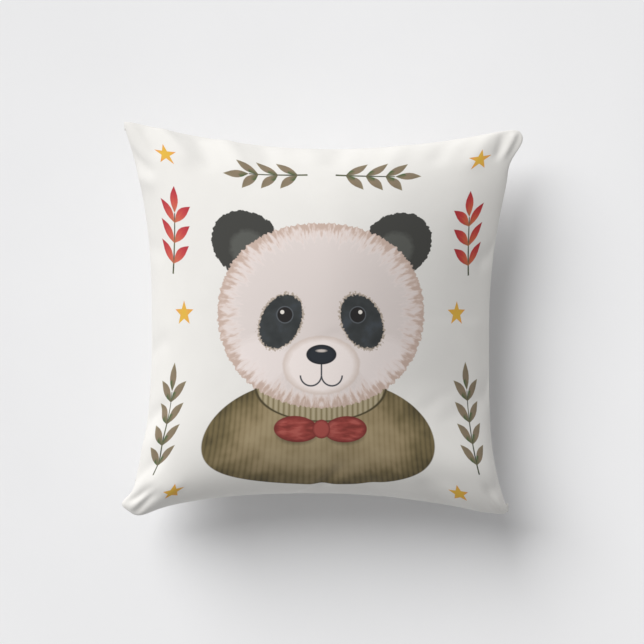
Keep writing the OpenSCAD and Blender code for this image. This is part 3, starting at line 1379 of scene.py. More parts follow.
@dataclass
class StuffedCover:
    """The two cloth panels, sewn round three sides and zipped on the fourth, as the filling holds them."""

    CUT = "cut"
    half_cut: float = 203.0
    cells: int = 84
    crown: float = 74.0
    left: Flank = Flank(2.2, 0.6)
    right: Flank = Flank(1.45, 0.95)
    top: Flank = Flank(2.2, 0.6)
    bottom: Flank = Flank(4.2, 0.5)
    upper_right: Corner = Corner(203.0, 1.9, 192.5, 2.1, 24.0)
    lower_right: Corner = Corner(194.5, 5.0, 202.0, 1.9, 18.0)
    upper_left: Corner = Corner(200.5, 2.4, 199.0, 1.75, 40.0)
    lower_left: Corner = Corner(211.0, 3.0, 209.5, 2.9, 8.0)
    full_low: float = 0.65
    waist_left: float = 169.5
    waist_right: float = 168.0
    waist_top: float = 169.0
    waist_zip: float = 175.0
    lip_lift: float = 4.4
    open_half: float = 150.0
    shut_half: float = 170.0
    cloth: float = 0.5
    turn_up: float = 0.8
    allowance: float = 8.0
    lap_y: float = -162.2
    lap_rise: float = 6.5
    sim_steps: int = 24
    pressure: float = 2.2
    travel: float = 4.5
    ease: float = 0.09
    ease_at: float = 16.0
    ease_width: float = 16.0
    creases: tuple[Crease, ...] = ()
    tugs: tuple[Tug, ...] = ()
    front: np.ndarray = field(init=False)
    back: np.ndarray = field(init=False)

    def __post_init__(self) -> None:
        """Works out the seam's height from the frame, and the flat cloth's grid."""
        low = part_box("cover_back_panel")[1].z
        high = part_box("cover_front_panel")[0].z
        self.seam = (low + high) / 2 / MM
        line = np.linspace(-self.half_cut, self.half_cut, self.cells + 1)
        self.flat_x, self.flat_y = np.meshgrid(line, line)

    def plan(self) -> tuple[np.ndarray, np.ndarray, np.ndarray]:
        """The stuffed outline: where each grid point lies in plan, and its height off the seam.

        Returns:
            Places across, places up, and heights.
        """
        u, v = (self.drawn_in(flat / self.half_cut) for flat in (self.flat_x, self.flat_y))
        right, up = u > 0, v > 0
        waist_x = np.where(right, self.waist_right, self.waist_left)
        waist_y = np.where(up, self.waist_top, self.waist_zip)
        reach_x, late_x, reach_y, late_y, square = self.nearest_corner(right, up)
        trim = (1 + np.abs(u * v) ** square) ** (-1 / square)
        x = u * (waist_x + (reach_x - waist_x) * np.abs(v) ** late_x) * trim
        y = v * (waist_y + (reach_y - waist_y) * np.abs(u) ** late_y) * trim
        for tug in self.tugs:
            weight = tug.weight(self.flat_x, self.flat_y)
            x, y = x + weight * tug.pull[0], y + weight * tug.pull[1]
        low = smooth((-v - 0.3) / 0.5) * smooth(u / 0.3)
        across = np.where(right, self.right.left_of(u), self.left.left_of(u))
        upward = np.where(up, self.top.left_of(v), self.bottom.left_of(v))
        across = across ** (1 - self.full_low * low)
        edge = self.half_cut - np.maximum(np.abs(self.flat_x), np.abs(self.flat_y))
        return x, y, self.crown * across * upward + self.turn_up * smooth(edge / 6.0)

    def nearest_corner(self, right: np.ndarray, up: np.ndarray) -> list[np.ndarray]:
        """The numbers of the corner that is nearest to each grid point.

        Args:
            right: True on the right half.
            up: True on the upper half.

        Returns:
            An array for each of a corner's numbers, in their order.
        """
        corners = (self.upper_right, self.upper_left, self.lower_right, self.lower_left)
        numbers = zip(*(astuple(corner) for corner in corners))
        return [np.where(up, np.where(right, a, b), np.where(right, c, d)) for a, b, c, d in numbers]

    @staticmethod
    def drawn_in(part: np.ndarray) -> np.ndarray:
        """Where a share of the flat cloth ends up in plan, as the rim turns down to the seam."""
        return part * (1.2 - 0.2 * np.abs(part) ** 5)

    def opening(self, x: np.ndarray) -> np.ndarray:
        """How far the zip's lips are parted at a place across, from 0 to 1."""
        return 1 - smooth((np.abs(x) - self.open_half) / (self.shut_half - self.open_half))

    def shape(self) -> None:
        """Works out the two panels' grids: stuffed, settled, creased, and pressed flat underneath."""
        x, y, height = self.plan()
        front = np.stack([x, y, height], axis=2)
        back = np.stack([x, y, -height], axis=2)
        front, back = self.settle(front, back)
        front = self.crease(front)
        lips = self.lip_lift * self.opening(front[..., 0]) * (self.flat_y < 0)
        front[..., 2] = np.hypot(np.maximum(front[..., 2], 0), lips) + self.seam
        lips = self.lip_lift * self.opening(back[..., 0]) * (self.flat_y < 0)
        depth = np.hypot(np.minimum(back[..., 2], 0), lips)
        flattened = self.seam - depth
        pressed = 0.5 * (flattened + np.sqrt(flattened**2 + 36.0))
        back[..., 2] = pressed - pressed.min() + 0.02
        shift = (self.seam - lips)[self.rim_mask()] - back[..., 2][self.rim_mask()]
        back[..., 2][self.rim_mask()] += shift
        self.front, self.back = front, back

    def rim_mask(self) -> np.ndarray:
        """True on the grid's outermost points."""
        mask = np.ones(self.flat_x.shape, bool)
        mask[1:-1, 1:-1] = False
        return mask

    def crease(self, front: np.ndarray) -> np.ndarray:
        """Moves the front's points along their normals by its creases.

        Args:
            front: The front grid.

        Returns:
            The creased grid.
        """
        across = np.gradient(front, axis=1)
        up = np.gradient(front, axis=0)
        normal = np.cross(across, up)
        normal /= np.linalg.norm(normal, axis=2)[..., None] + 1e-9
        total = np.zeros(self.flat_x.shape)
        for crease in self.creases:
            total += crease.lift(self.flat_x, self.flat_y)
        edge = self.half_cut - np.maximum(np.abs(self.flat_x), np.abs(self.flat_y))
        total = np.maximum(total * smooth(edge / 10.0), -0.3 * np.maximum(front[..., 2], 0))
        return front + normal * total[..., None]

    def settle(self, front: np.ndarray, back: np.ndarray) -> tuple[np.ndarray, np.ndarray]:
        """Lets the sewn cloth settle under the filling's pressure, with a cap on how far it moves.

        Args:
            front: The front grid before.
            back: The back grid before.

        Returns:
            The two grids after.
        """
        rim = self.rim_mask()
        numbers = np.full((2, *rim.shape), -1)
        numbers[0] = np.arange(rim.size).reshape(rim.shape)
        numbers[1][rim] = numbers[0][rim]
        numbers[1][~rim] = rim.size + np.arange((~rim).sum())
        points = np.concatenate([front.reshape(-1, 3), back[~rim]])
        quads = [grid_faces(numbers[0]), grid_faces(numbers[1], flipped=True)]
        bag = add_piece("settling_cloth", points, np.concatenate(quads).tolist(), [])
        self.hold(bag, numbers)
        scene = bpy.context.scene
        for step in range(1, self.sim_steps + 1):
            scene.frame_set(step)
        graph = bpy.context.evaluated_depsgraph_get()
        mesh = bag.evaluated_get(graph).to_mesh()
        moved = np.empty(len(mesh.vertices) * 3)
        mesh.vertices.foreach_get("co", moved)
        moved = moved.reshape(-1, 3) / MM - points
        bpy.data.objects.remove(bag)
        scene.frame_set(1)
        far = np.linalg.norm(moved, axis=1)
        moved *= np.minimum(1.0, self.travel / np.maximum(far, 1e-6))[:, None]
        log.info("settled: mean move %.1f mm, largest %.1f mm", far.mean(), far.max())
        settled = points + moved
        return settled[numbers[0]], settled[numbers[1]]

    def hold(self, bag: bpy.types.Object, numbers: np.ndarray) -> None:
        """Gives the settling cloth its stiffness, pressure, eased fullness by the seam, and held rim.

        Args:
            bag: The closed cloth.
            numbers: The point numbers of the two grids.
        """
        held = bag.vertex_groups.new(name="held")
        held.add([int(k) for k in numbers[0][self.rim_mask()]], 1.0, "REPLACE")
        gathered = bag.vertex_groups.new(name="gathered")
        edge = self.half_cut - np.maximum(np.abs(self.flat_x), np.abs(self.flat_y))
        pull = np.exp(-(((edge - self.ease_at) / self.ease_width) ** 2))
        for layer in range(2):
            for number, weight in zip(numbers[layer].ravel(), pull.ravel()):
                if weight > 0.02:
                    gathered.add([int(number)], float(weight), "REPLACE")
        cloth = bag.modifiers.new("settling", "CLOTH")
        cloth.point_cache.frame_end = self.sim_steps
        cloth.collision_settings.use_collision = False
        rules = cloth.settings
        rules.quality = 6
        rules.mass = 0.1
        rules.tension_stiffness, rules.compression_stiffness = 40.0, 40.0
        rules.shear_stiffness, rules.bending_stiffness = 8.0, 0.4
        rules.tension_damping = rules.compression_damping = rules.shear_damping = 5.0
        rules.bending_damping = 0.5
        rules.air_damping = 1.0
        rules.vertex_group_mass = held.name
        rules.vertex_group_shrink = gathered.name
        rules.shrink_min, rules.shrink_max = 0.0, -self.ease
        rules.use_pressure = True
        rules.uniform_pressure_force = self.pressure
        rules.effector_weights.gravity = 0.0

    def panel_grid(self, grid: np.ndarray, layer: int) -> tuple[np.ndarray, np.ndarray]:
        """A panel's grid with its turned allowance added all round.

        Args:
            grid: The stuffed grid.
            layer: 1 for the front, -1 for the back.

        Returns:
            The wider grid, and each point's place on the flat cloth.
        """
        count = self.cells + 1
        pad = 3
        rows = np.arange(-pad, count + pad)
        held = np.clip(rows, 0, count - 1)
        beyond = np.where(rows < 0, rows, np.where(rows >= count, rows - count + 1, 0))
        wide = grid[np.ix_(held, held)].copy()
        flat = np.stack([self.flat_x, self.flat_y], axis=2)[np.ix_(held, held)].copy()
        out_x, out_y = np.meshgrid(beyond, beyond)
        inset = np.array([0.0, 0.9, 0.5 * self.allowance, self.allowance])
        step_x, step_y = inset[np.abs(out_x)], inset[np.abs(out_y)]
        flat += np.stack([np.sign(out_x) * step_x, np.sign(out_y) * step_y], axis=2)
        open_here = self.opening(wide[..., 0]) * (out_y < 0)
        reach = self.lap_y - wide[..., 1]
        share = np.array([0.0, 0.12, 0.55, 1.0])[np.abs(out_y)]
        wide[..., 0] -= np.sign(out_x) * step_x
        wide[..., 1] -= np.sign(out_y) * step_y * (1 - open_here)
        wide[..., 1] += open_here * reach * share
        ring = np.maximum(np.abs(out_x), np.abs(out_y))
        on_rim = np.zeros(ring.shape, bool)
        on_rim[pad : pad + count, pad : pad + count] = self.rim_mask()
        clear = np.where(ring > 0, 0.16, np.where(on_rim, 0.4, 0.0))
        lips = self.lip_lift * self.opening(wide[..., 0]) * (flat[..., 1] < 0) * ((ring > 0) | on_rim)
        level = self.seam + layer * (clear + lips + open_here * self.lap_rise * share)
        wide[..., 2] = np.where((ring > 0) | on_rim, level, wide[..., 2])
        return wide, flat

    def panel(self, name: str, layer: int, materials: list[bpy.types.Material]) -> bpy.types.Object:
        """Makes one panel with its turned allowance, as cloth of real thickness.

        Args:
            name: The piece's name.
            layer: 1 for the front, -1 for the back.
            materials: The materials for its slots.

        Returns:
            The panel.
        """
        wide, flat = self.panel_grid(self.front if layer > 0 else self.back, layer)
        numbers = np.arange(flat[..., 0].size).reshape(flat.shape[:2])
        piece = add_piece(name, wide.reshape(-1, 3), grid_faces(numbers, layer < 0).tolist(), materials)
        places = piece.data.attributes.new(self.CUT, "FLOAT_VECTOR", "POINT")
        padded = np.concatenate([flat.reshape(-1, 2), np.zeros((numbers.size, 1))], axis=1)
        places.data.foreach_set("vector", padded.astype(np.float32).ravel())
        into_cloth(piece, self.cloth)
        return piece

    def build(self, printed: PrintedCloth, plain: Woven) -> None:
        """Args:
            printed: The front panel's finish.
            plain: The back panel's finish.
        """
        self.shape()
        front = self.panel("printed_front_panel", 1, printed.make())
        self.sort_zones(front, printed)
        attach(front, ROOT, "printed_cloth", "cover_front_panel")
        back = self.panel("plain_back_panel", -1, [plain.make()])
        attach(back, ROOT, "plain_cloth", "cover_back_panel")

    def sort_zones(self, panel: bpy.types.Object, printed: PrintedCloth) -> None:
        """Gives every face of the front panel the material of its zone.

        Args:
            panel: The front panel.
            printed: The finish that says which zone a place is in.
        """
        mesh = panel.data
        places = np.empty(len(mesh.vertices) * 3, np.float32)
        mesh.attributes[self.CUT].data.foreach_get("vector", places)
        places = places.reshape(-1, 3)
        middles = [places[list(face.vertices)].mean(axis=0) for face in mesh.polygons]
        picks = [printed.zone(float(middle[0]), float(middle[1])).value for middle in middles]
        mesh.polygons.foreach_set("material_index", picks)

    def rim(self, side: Side, share: np.ndarray, inset: float) -> np.ndarray:
        """Points along one side's seam.

        Args:
            side: The side.
            share: Where along it, from -1 to 1 of the flat cloth.
            inset: How far in from the rim.

        Returns:
            The points, at the seam's level.
        """
        edge = {
            Side.TOP: self.front[-1],
            Side.ZIP: self.front[0],
            Side.LEFT: self.front[:, 0],
            Side.RIGHT: self.front[:, -1],
        }[side]
        at = np.linspace(-1, 1, self.cells + 1)
        tip = np.sign(share) * smooth((np.abs(share) - 0.88) / 0.1) * inset * 2.0
        x = np.interp(share, at, edge[:, 0]) - side.value[0] * inset - abs(side.value[1]) * tip
        y = np.interp(share, at, edge[:, 1]) - side.value[1] * inset - abs(side.value[0]) * tip
        return np.stack([x, y, np.full(len(share), self.seam)], axis=1)


# Sewing


@dataclass
class Sewing:
    """The threads that hold the cover: seams, overlocking, and the blank care label in the left seam."""

    cover: StuffedCover
    thread: Twisted
    ribbon: Ribbed
    radius: float = 0.25
    stitch: float = 2.6
    between: float = 0.5
    seam_inset: float = 2.0
    off_seam: float = 1.05
    overlock_step: float = 1.6
    overlock_leg: float = 2.4

    def stitches(self, strands: Strands, line: np.ndarray, dip: Sequence[float]) -> None:
        """Adds a row of single stitches along a line, each dipping into the cloth at its ends.

        Args:
            strands: Where the stitches go.
            line: The line that they follow.
            dip: The direction and depth of the dips.
        """
        _, length = measured_line(line)
        step = self.stitch + self.between
        for k in range(int(length / step)):
            at = k * step + np.array([0.0, 0.12, 0.5, 0.88, 1.0]) * self.stitch
            path = along_line(line, at)
            path += np.array([1.0, 0.25, 0.0, 0.25, 1.0])[:, None] * np.array(dip)
            strands.add(path, self.radius * np.array([0.6, 0.95, 1.0, 0.95, 0.6]))

    def seam(self, name: str, side: Side, spans: Iterable[Point], material: bpy.types.Material) -> None:
        """Sews one side's seam, on both faces of its allowance.

        Args:
            name: The piece's name, and after "sewn_" the CAD node's.
            side: The side.
            spans: The parts of the side that are sewn.
            material: The thread.
        """
        strands = Strands(6)
        for first, last in spans:
            line = self.cover.rim(side, np.linspace(first, last, 160), self.seam_inset)
            for face in (-1, 1):
                lifted = line + np.array([0.0, 0.0, face * self.off_seam])
                self.stitches(strands, lifted, (0.0, 0.0, -face * 0.25))
        attach(strands.piece(f"sewn_{name}", material), ROOT, "thread", name)

    def overlock(self, name: str, side: Side, material: bpy.types.Material) -> None:
        """Wraps one side's cut edges in a looped thread.

        Args:
            name: The CAD node's name.
            side: The side.
            material: The thread.
        """
        depth = self.cover.allowance
        span = np.linspace(-0.6, 0.6, 120)
        _, length = measured_line(self.cover.rim(side, span, depth))
        loop = [
            (depth - self.overlock_leg, 0.95),
            (depth - 0.2, 0.92),
            (depth + 0.28, 0.0),
            (depth - 0.2, -0.92),
            (depth - self.overlock_leg, -0.95),
            (depth - 0.2, -0.92),
            (depth + 0.28, 0.0),
            (depth - 0.2, 0.92),
        ]
        turns = int(length / self.overlock_step)
        total = turns * len(loop)
        path = []
        for k in range(total):
            inset, rise = loop[k % len(loop)]
            share = -0.6 + 1.2 * k / (total - 1)
            spot = self.cover.rim(side, np.array([share]), inset)[0]
            path.append(spot + np.array([0.0, 0.0, rise]))
        strands = Strands(5)
        strands.add(np.array(path), np.full(total, 0.15))
        attach(strands.piece(f"wrapped_{name}", material), ROOT, "thread", name)

    def care_label(self) -> None:
        """Makes the folded ribbon that hangs inside the left seam."""
        low, high = (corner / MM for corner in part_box("care_label"))
        middle = (low.x + high.x) / 2
        top, bottom = high.z, low.z
        rings = []
        for y in np.linspace(low.y, high.y, 25):
            sway = 0.12 * math.sin((y - low.y) / 30 * 2 * math.pi)
            outer, inner = [], []
            for part in np.linspace(0, 1, 9):
                z = top + (bottom + 0.4 - top) * part
                gap = 0.28 + 0.1 * math.sin(part * math.pi)
                outer.append((middle - gap + sway * part, y, z))
                inner.append((middle + gap + sway * part, y, z))
            base = (middle + sway, y, bottom)
            hollow_outer = [(p[0] + 0.12, y, p[2] + 0.02) for p in outer]
            hollow_inner = [(p[0] - 0.12, y, p[2] + 0.02) for p in inner]
            turned = (middle + sway, y, bottom + 0.14)
            loop = outer + [base] + inner[::-1] + hollow_inner + [turned] + hollow_outer[::-1]
            rings.append(loop)
        points, faces = closed_loft(np.array(rings))
        label = add_piece("care_ribbon", points, faces, [self.ribbon.make()])
        attach(label, ROOT, "satin_ribbon", "care_label")

    def build(self) -> bpy.types.Material:
        """Sews every seam.

        Returns:
            The thread's material, for the pieces that share it.
        """
        material = self.thread.make()
        whole = ((-0.93, 0.93),)
        self.seam("seam_thread_top", Side.TOP, whole, material)
        self.seam("seam_thread_left", Side.LEFT, whole, material)
        self.seam("seam_thread_right", Side.RIGHT, whole, material)
        self.seam("seam_thread_zip_side", Side.ZIP, ((-0.97, -0.8), (0.8, 0.97)), material)
        for side in (Side.TOP, Side.LEFT, Side.RIGHT):
            self.overlock(f"overlock_{side.name.lower()}", side, material)
        self.care_label()
        return material


# The zip


@dataclass
class CoilZip:
    """The hidden coil zip: tapes, coils, stitches, stops, slider and pull."""

    sewing: Sewing
    tape: Ribbed
    nylon: Moulded
    metal: Plated
    pitch: float = 1.35
    coil_depth: float = 0.68
    coil_half: float = 0.56
    coil_offset: float = 1.27
    wire: float = 0.23
    tape_half: float = 0.25
    edge_round: float = 0.18

    def __post_init__(self) -> None:
        """Finds the chain's line in the frame."""
        low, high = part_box("zip_teeth_front")
        self.row_half = high.x / MM
        self.chain_y = (low.y + high.y) / 2 / MM
        self.seam = self.sewing.cover.seam

    def coil(self, name: str, way: int, material: bpy.types.Material) -> None:
        """Winds one row of teeth.

        Args:
            name: The CAD node's name.
            way: 1 for the front row, -1 for the back row.
            material: The nylon.
        """
        reach = self.row_half - self.wire
        turns = 2 * reach / self.pitch
        angle = np.linspace(0, turns * 2 * math.pi, int(turns * 12))
        lag = 0.0 if way > 0 else math.pi
        path = np.stack(
            [
                -reach + self.pitch * angle / (2 * math.pi),
                self.chain_y + self.coil_depth * np.sin(angle + lag),
                self.seam + way * (self.coil_offset + self.coil_half * np.cos(angle + lag)),
            ],
            axis=1,
        )
        strands = Strands(6)
        strands.add(path, np.full(len(path), self.wire))
        attach(strands.piece(f"coil_{name}", material), ROOT, "zip_nylon", name)

    def tape_strip(self, name: str, way: int, material: bpy.types.Material) -> None:
        """Weaves one tape, bent inwards behind the teeth.

        Args:
            name: The CAD node's name.
            way: 1 for the front tape, -1 for the back tape.
            material: The tape's cloth.
        """
        low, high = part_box(name)
        upright = [(0, 2.12), (0, 2.8), (0, 3.4)]
        line = np.array(upright + [(0.1, 3.75), (0.35, 4.1), (3.3, 7.05), (6.3, 10.05)])
        slope = np.gradient(line, axis=0)
        slope /= np.linalg.norm(slope, axis=1)[:, None]
        side = np.stack([-slope[:, 1], slope[:, 0]], axis=1) * self.tape_half
        section = np.concatenate([line + side, (line - side)[::-1]])
        rings = []
        for x in np.linspace(low.x / MM, high.x / MM, 241):
            slack = 0.07 * math.sin(x * 0.42) * smooth(np.abs(section[:, 1]) / 5.0 - 0.6)
            y = self.chain_y + section[:, 0] + slack
            z = self.seam + way * (section[:, 1] - np.abs(slack))
            rings.append(np.stack([np.full(len(section), x), y, z], axis=1))
        points, faces = closed_loft(np.array(rings))
        faces = faces if way > 0 else [face[::-1] for face in faces]
        attach(add_piece(f"woven_{name}", points, faces, [material]), ROOT, "zip_tape", name)

    def tape_stitches(self, name: str, material: bpy.types.Material) -> None:
        """Sews one tape to its allowance.

        Args:
            name: The CAD node's name.
            material: The thread.
        """
        low, high = (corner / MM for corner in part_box(name))
        middle = (low + high) / 2
        ends = np.array([[low.x, middle.y, middle.z], [high.x, middle.y, middle.z]])
        strands = Strands(6)
        self.sewing.stitches(strands, ends, (0.0, -0.2, 0.0))
        attach(strands.piece(f"sewn_{name}", material), ROOT, "thread", name)

    def machined(self, name: str, node: str, body: str, material: bpy.types.Material, bevel: float) -> None:
        """Copies a metal part's exact shape and breaks its sharp edges.

        Args:
            name: The piece's name.
            node: The CAD node's name.
            body: The body that it moves with.
            material: The metal.
            bevel: The width of the broken edges.
        """
        piece = bpy.data.objects.new(name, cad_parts[node].data.copy())
        bpy.context.scene.collection.objects.link(piece)
        mesh = bmesh.new()
        mesh.from_mesh(piece.data)
        bmesh.ops.remove_doubles(mesh, verts=mesh.verts, dist=1e-6)
        bmesh.ops.dissolve_limit(mesh, angle_limit=0.02, verts=mesh.verts, edges=mesh.edges)
        mesh.to_mesh(piece.data)
        mesh.free()
        piece.data.materials.clear()
        piece.data.materials.append(material)
        broken = piece.modifiers.new("broken", "BEVEL")
        broken.width = bevel * MM
        broken.segments = 2
        broken.limit_method = "ANGLE"
        broken.angle_limit = math.radians(40)
        broken.harden_normals = False
        bake_modifiers(piece)
        piece.data.shade_smooth()
        piece.data.set_sharp_from_angle(angle=math.radians(35))
        attach(piece, body, "zip_metal", node)

    def build(self, thread: bpy.types.Material) -> None:
        """Builds the whole zip.

        Args:
            thread: The thread's material.
        """
        nylon, tape, metal = self.nylon.make(), self.tape.make(), self.metal.make()
        for end, way in (("front", 1), ("back", -1)):
            self.coil(f"zip_teeth_{end}", way, nylon)
            self.tape_strip(f"zip_tape_{end}", way, tape)
            self.tape_stitches(f"zip_stitches_{end}", thread)
        self.machined("crimped_top_stops", "zip_top_stops", ROOT, metal, self.edge_round)
        self.machined("crimped_bottom_stop", "zip_bottom_stop", ROOT, metal, self.edge_round)
        self.machined("cast_slider", "zip_slider", "slider", metal, self.edge_round)
        self.machined("cast_pull", "zip_pull", "pull", metal, self.edge_round)


# The insert


@dataclass
class Insert:
    """The bag of fibre inside the cover: two shells, their seam, the closing stitches, and the fibre."""

    cover: StuffedCover
    sewing: Sewing
    lining: Bonded
    fibre: Fluff
    scale: float = 0.93
    zip_scale: float = 0.875
    loft: float = 0.95
    cloth: float = 0.4
    fibre_scale: float = 0.985
    fibre_loft: float = 0.96

    def grid(self, source: np.ndarray, layer: int) -> np.ndarray:
        """One shell's grid, inside the cover's.

        Args:
            source: The cover's grid.
            layer: 1 for the front, -1 for the back.

        Returns:
            The shell's outer points.
        """
        seam = self.cover.seam
        inner = source[::2, ::2].copy()
        shrink = np.where(inner[..., 1] < 0, self.zip_scale, self.scale)
        flat_u = self.cover.flat_x[::2, ::2] / self.cover.half_cut
        flat_v = self.cover.flat_y[::2, ::2] / self.cover.half_cut
        inner[..., 0] *= self.scale
        inner[..., 1] *= shrink
        rim = np.maximum(np.abs(flat_u), np.abs(flat_v)) > 0.999
        depth = np.abs(inner[..., 2] - seam)
        depth = np.maximum(self.loft * depth - 1.0, 0.0) + 0.25
        inner[..., 2] = seam + layer * np.where(rim, 0.25, depth)
        return inner

    def shell(self, name: str, node: str, grid: np.ndarray, layer: int, material: bpy.types.Material) -> None:
        """Makes one shell of the bag.

        Args:
            name: The piece's name.
            node: The CAD node's name.
            grid: Its outer points.
            layer: 1 for the front, -1 for the back.
            material: The lining.
        """
        numbers = np.arange(grid[..., 0].size).reshape(grid.shape[:2])
        piece = add_piece(name, grid.reshape(-1, 3), grid_faces(numbers, layer < 0).tolist(), [material])
        into_cloth(piece, self.cloth)
        attach(piece, ROOT, "lining", node)

    def edge(self, grid: np.ndarray, side: Side, first: float, last: float) -> np.ndarray:
        """A line just outside the bag's rim.

        Args:
            grid: The front shell's grid.
            side: The side.
            first: Where it starts, from -1 to 1.
            last: Where it ends.

        Returns:
            The line's points, at the seam's level.
        """
        rows = {Side.TOP: grid[-1], Side.ZIP: grid[0], Side.LEFT: grid[:, 0], Side.RIGHT: grid[:, -1]}
        line = rows[side]
        at = np.linspace(-1, 1, len(line))
        share = np.linspace(first, last, 120)
        out = np.array(side.value) * 0.45
        x = np.interp(share, at, line[:, 0]) + out[0]
        y = np.interp(share, at, line[:, 1]) + out[1]
        return np.stack([x, y, np.full(len(share), self.cover.seam)], axis=1)

    def filling(self, front: np.ndarray, back: np.ndarray) -> None:
        """Makes the fibre as one lumpy solid inside the bag.

        Args:
            front: The front shell's grid.
            back: The back shell's grid.
        """
        seam = self.cover.seam
        rim = np.ones(front.shape[:2], bool)
        rim[1:-1, 1:-1] = False
        layers = []
        for grid in (front, back):
            lumpy = grid.copy()
            lumpy[..., :2] *= self.fibre_scale
            x, y = lumpy[..., 0], lumpy[..., 1]
            lumps = np.sin(x * 0.09 + 2 * np.sin(y * 0.05)) * np.sin(y * 0.11 + 1.7 * np.sin(x * 0.06))
            shrink = self.fibre_loft - 0.012 * (1 + lumps)
            lumpy[..., 2] = seam + (lumpy[..., 2] - seam) * shrink
            lumpy[rim, 2] = seam
            layers.append(lumpy)
        numbers = np.arange(rim.size).reshape(rim.shape)
        under = numbers.copy()
        under[~rim] = rim.size + np.arange((~rim).sum())
        points = np.concatenate([layers[0].reshape(-1, 3), layers[1][~rim]])
        quads = [grid_faces(numbers), grid_faces(under, flipped=True)]
        piece = add_piece("fluffed_fibre", points, np.concatenate(quads).tolist(), [self.fibre.make()])
        finer = piece.modifiers.new("finer", "SUBSURF")
        finer.levels = finer.render_levels = 1
        bake_modifiers(piece)
        attach(piece, ROOT, "fibre", "fibre_fill")

    def build(self, thread: bpy.types.Material) -> None:
        """Builds the insert.

        Args:
            thread: The thread's material.
        """
        front, back = self.grid(self.cover.front, 1), self.grid(self.cover.back, -1)
        lining = self.lining.make()
        self.shell("lining_front_shell", "insert_front_shell", front, 1, lining)
        self.shell("lining_back_shell", "insert_back_shell", back, -1, lining)
        seam = Strands(6)
        for side in (Side.LEFT, Side.RIGHT, Side.TOP):
            self.sewing.stitches(seam, self.edge(front, side, -0.9, 0.9), (0.0, 0.0, 0.1))
        attach(seam.piece("sewn_insert_seam", thread), ROOT, "thread", "insert_seam_thread")
        closing = Strands(6)
        self.sewing.stitches(closing, self.edge(front, Side.ZIP, -0.4, 0.4), (0.0, 0.0, 0.15))
        attach(closing.piece("sewn_closing", thread), ROOT, "thread", "insert_closing_stitches")
        self.filling(front, back)


# The studio


@dataclass
class Studio:
    """The floor, the wide soft light from the upper left, and the camera straight above."""

    paper: Paper
    floor_half: float = 30.0
    lens: float = 97.8
    camera_at: tuple[float, float, float] = (0.0005, -0.004, 1.816)
    sun_power: float = 3.0
    sun_spread: float = 45.0
    sun_height: float = 38.0
    sun_from: float = 130.0
    sky: float = 0.38

    def floor(self) -> None:
        """Lays the floor."""
        count = 9
        line = np.linspace(-self.floor_half, self.floor_half, count) / MM
        x, y = np.meshgrid(line, line)
        points = np.stack([x, y, np.zeros(x.shape)], axis=2).reshape(-1, 3)
        quads = grid_faces(np.arange(count * count).reshape(count, count)).tolist()
        add_piece("studio_floor", points, quads, [self.paper.make()])

    def light(self) -> None:
        """Hangs the soft light and sets the pale surroundings."""
        lamp = bpy.data.lights.new("soft_light", "SUN")
        lamp.energy = self.sun_power
        lamp.angle = math.radians(self.sun_spread)
        holder = bpy.data.objects.new("soft_light", lamp)
        height, turn = math.radians(self.sun_height), math.radians(self.sun_from)
        way = Vector((math.cos(height) * math.cos(turn), math.cos(height) * math.sin(turn), math.sin(height)))
        holder.rotation_euler = way.to_track_quat("Z", "Y").to_euler()
        bpy.context.scene.collection.objects.link(holder)
        world = bpy.data.worlds.new("pale_room")
        world.use_nodes = True
        air = world.node_tree.nodes["Background"]
        air.inputs["Color"].default_value = (1.0, 1.0, 1.0, 1.0)
        air.inputs["Strength"].default_value = self.sky
        bpy.context.scene.world = world

    def camera(self) -> None:
        """Sets the camera, looking straight down with the cushion's top edge up."""
        eye = bpy.data.cameras.new("camera")
        eye.lens = self.lens
        eye.clip_end = 100.0
        holder = bpy.data.objects.new("camera", eye)
        holder.location = self.camera_at
        bpy.context.scene.collection.objects.link(holder)
        bpy.context.scene.camera = holder

    def build(self) -> None:
        """Sets up the whole studio."""
        scene = bpy.context.scene
        scene.view_settings.view_transform = "Standard"
        scene.view_settings.look = "None"
        self.camera()
        self.floor()
        self.light()


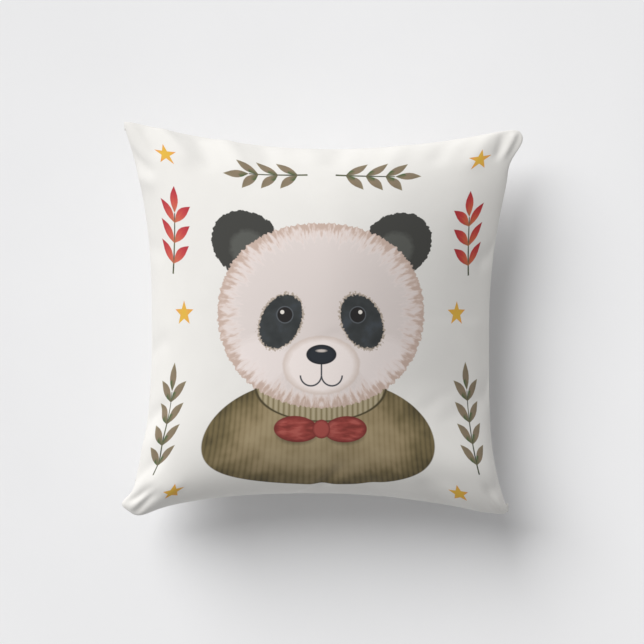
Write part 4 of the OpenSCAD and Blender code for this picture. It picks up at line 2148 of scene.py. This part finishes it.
CREASES = (
    Crease((168, 200), (164, 148), 5.0, -3.0, 2.6),
    Crease((184, 186), (174, 148), 5.0, 1.4, -1.2),
    Crease((148, 200), (128, 140), 11.0, 1.5, 0.6),
    Crease((-166, 200), (-150, 144), 8.0, -2.4),
    Crease((-144, 200), (-120, 140), 9.0, 2.4, 1.2),
    Crease((-108, 200), (-98, 140), 9.0, -2.6),
    Crease((-86, 200), (-70, 136), 10.0, 2.4, 1.2),
    Crease((-50, 200), (-44, 150), 8.0, -1.6),
    Crease((-10, 200), (-4, 156), 9.0, 1.2),
    Crease((20, 200), (10, 152), 9.0, -1.5),
    Crease((70, 200), (56, 146), 9.0, 1.6),
    Crease((108, 200), (98, 150), 9.0, -1.8),
    Crease((-200, 146), (-158, 126), 7.0, -2.0),
    Crease((-200, 120), (-160, 118), 7.0, 1.8),
    Crease((-200, 60), (-162, 56), 8.0, -1.2),
    Crease((-200, -30), (-156, -18), 8.0, -1.5),
    Crease((-200, -84), (-152, -70), 7.0, -2.4, 1.0),
    Crease((-200, -108), (-152, -96), 9.0, 2.0),
    Crease((-200, -134), (-146, -116), 8.0, -2.4, 1.0),
    Crease((-190, -164), (-150, -146), 7.0, -3.2, 1.6),
    Crease((-176, -192), (-146, -154), 8.0, -2.4, 1.8),
    Crease((-160, -140), (-122, -166), 12.0, 2.6),
    Crease((-24, -200), (18, -140), 5.0, -2.2, 2.0),
    Crease((60, -200), (40, -154), 8.0, -1.6),
    Crease((112, -200), (88, -152), 9.0, -1.8, 1.0),
    Crease((150, -198), (118, -150), 9.0, 1.2, 0.8),
    Crease((194, -140), (160, -156), 7.0, -1.2),
    Crease((174, -194), (158, -146), 6.0, -1.8, 1.4),
    Crease((200, 60), (160, 50), 8.0, -1.4),
    Crease((200, -60), (158, -72), 9.0, -1.4),
)
TUGS = (
    Tug((203, 168), (4.5, 0), 19.0),
    Tug((203, 138), (-3.0, 0), 14.0),
    Tug((-203, -170), (-8.0, 0), 18.0),
    Tug((-160, -203), (0, -6.0), 24.0),
    Tug((-203, -148), (2.0, 0), 12.0),
    Tug((196, -196), (-1.0, 2.0), 10.0),
)


def main() -> None:
    """Builds the studio and the pillow, piece by piece."""
    logging.basicConfig(level=logging.INFO, format="%(name)s: %(message)s")
    Studio(Paper("pale_floor", ink(239, 239, 240), ink(236, 236, 237))).build()
    white = Woven("printed_cloth", ink(223, 221, 217), ink(220, 218, 214))
    cover = StuffedCover(creases=CREASES, tugs=TUGS)
    cover.build(
        PrintedCloth("printed_cloth", white),
        Woven("plain_cloth", ink(222, 220, 216), ink(217, 215, 211)),
    )
    sewing = Sewing(
        cover,
        Twisted("sewing_thread", ink(222, 219, 213), ink(190, 186, 178)),
        Ribbed("satin_ribbon", ink(240, 240, 240), ink(222, 222, 224), 0.35, 0.45),
    )
    thread = sewing.build()
    CoilZip(
        sewing,
        Ribbed("zip_tape", ink(226, 224, 219), ink(196, 194, 188), 0.6, 0.05),
        Moulded("zip_nylon", ink(232, 230, 224), ink(214, 212, 205)),
        Plated("zip_metal", ink(188, 190, 193), ink(150, 146, 140)),
    ).build(thread)
    Insert(
        cover,
        sewing,
        Bonded("lining", ink(232, 234, 236), ink(206, 209, 212)),
        Fluff("fibre", ink(250, 250, 250), ink(214, 214, 216)),
    ).build(thread)
    log.info("all %d CAD nodes are shown or stood in for", len(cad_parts))


if __name__ == "__main__":
    main()
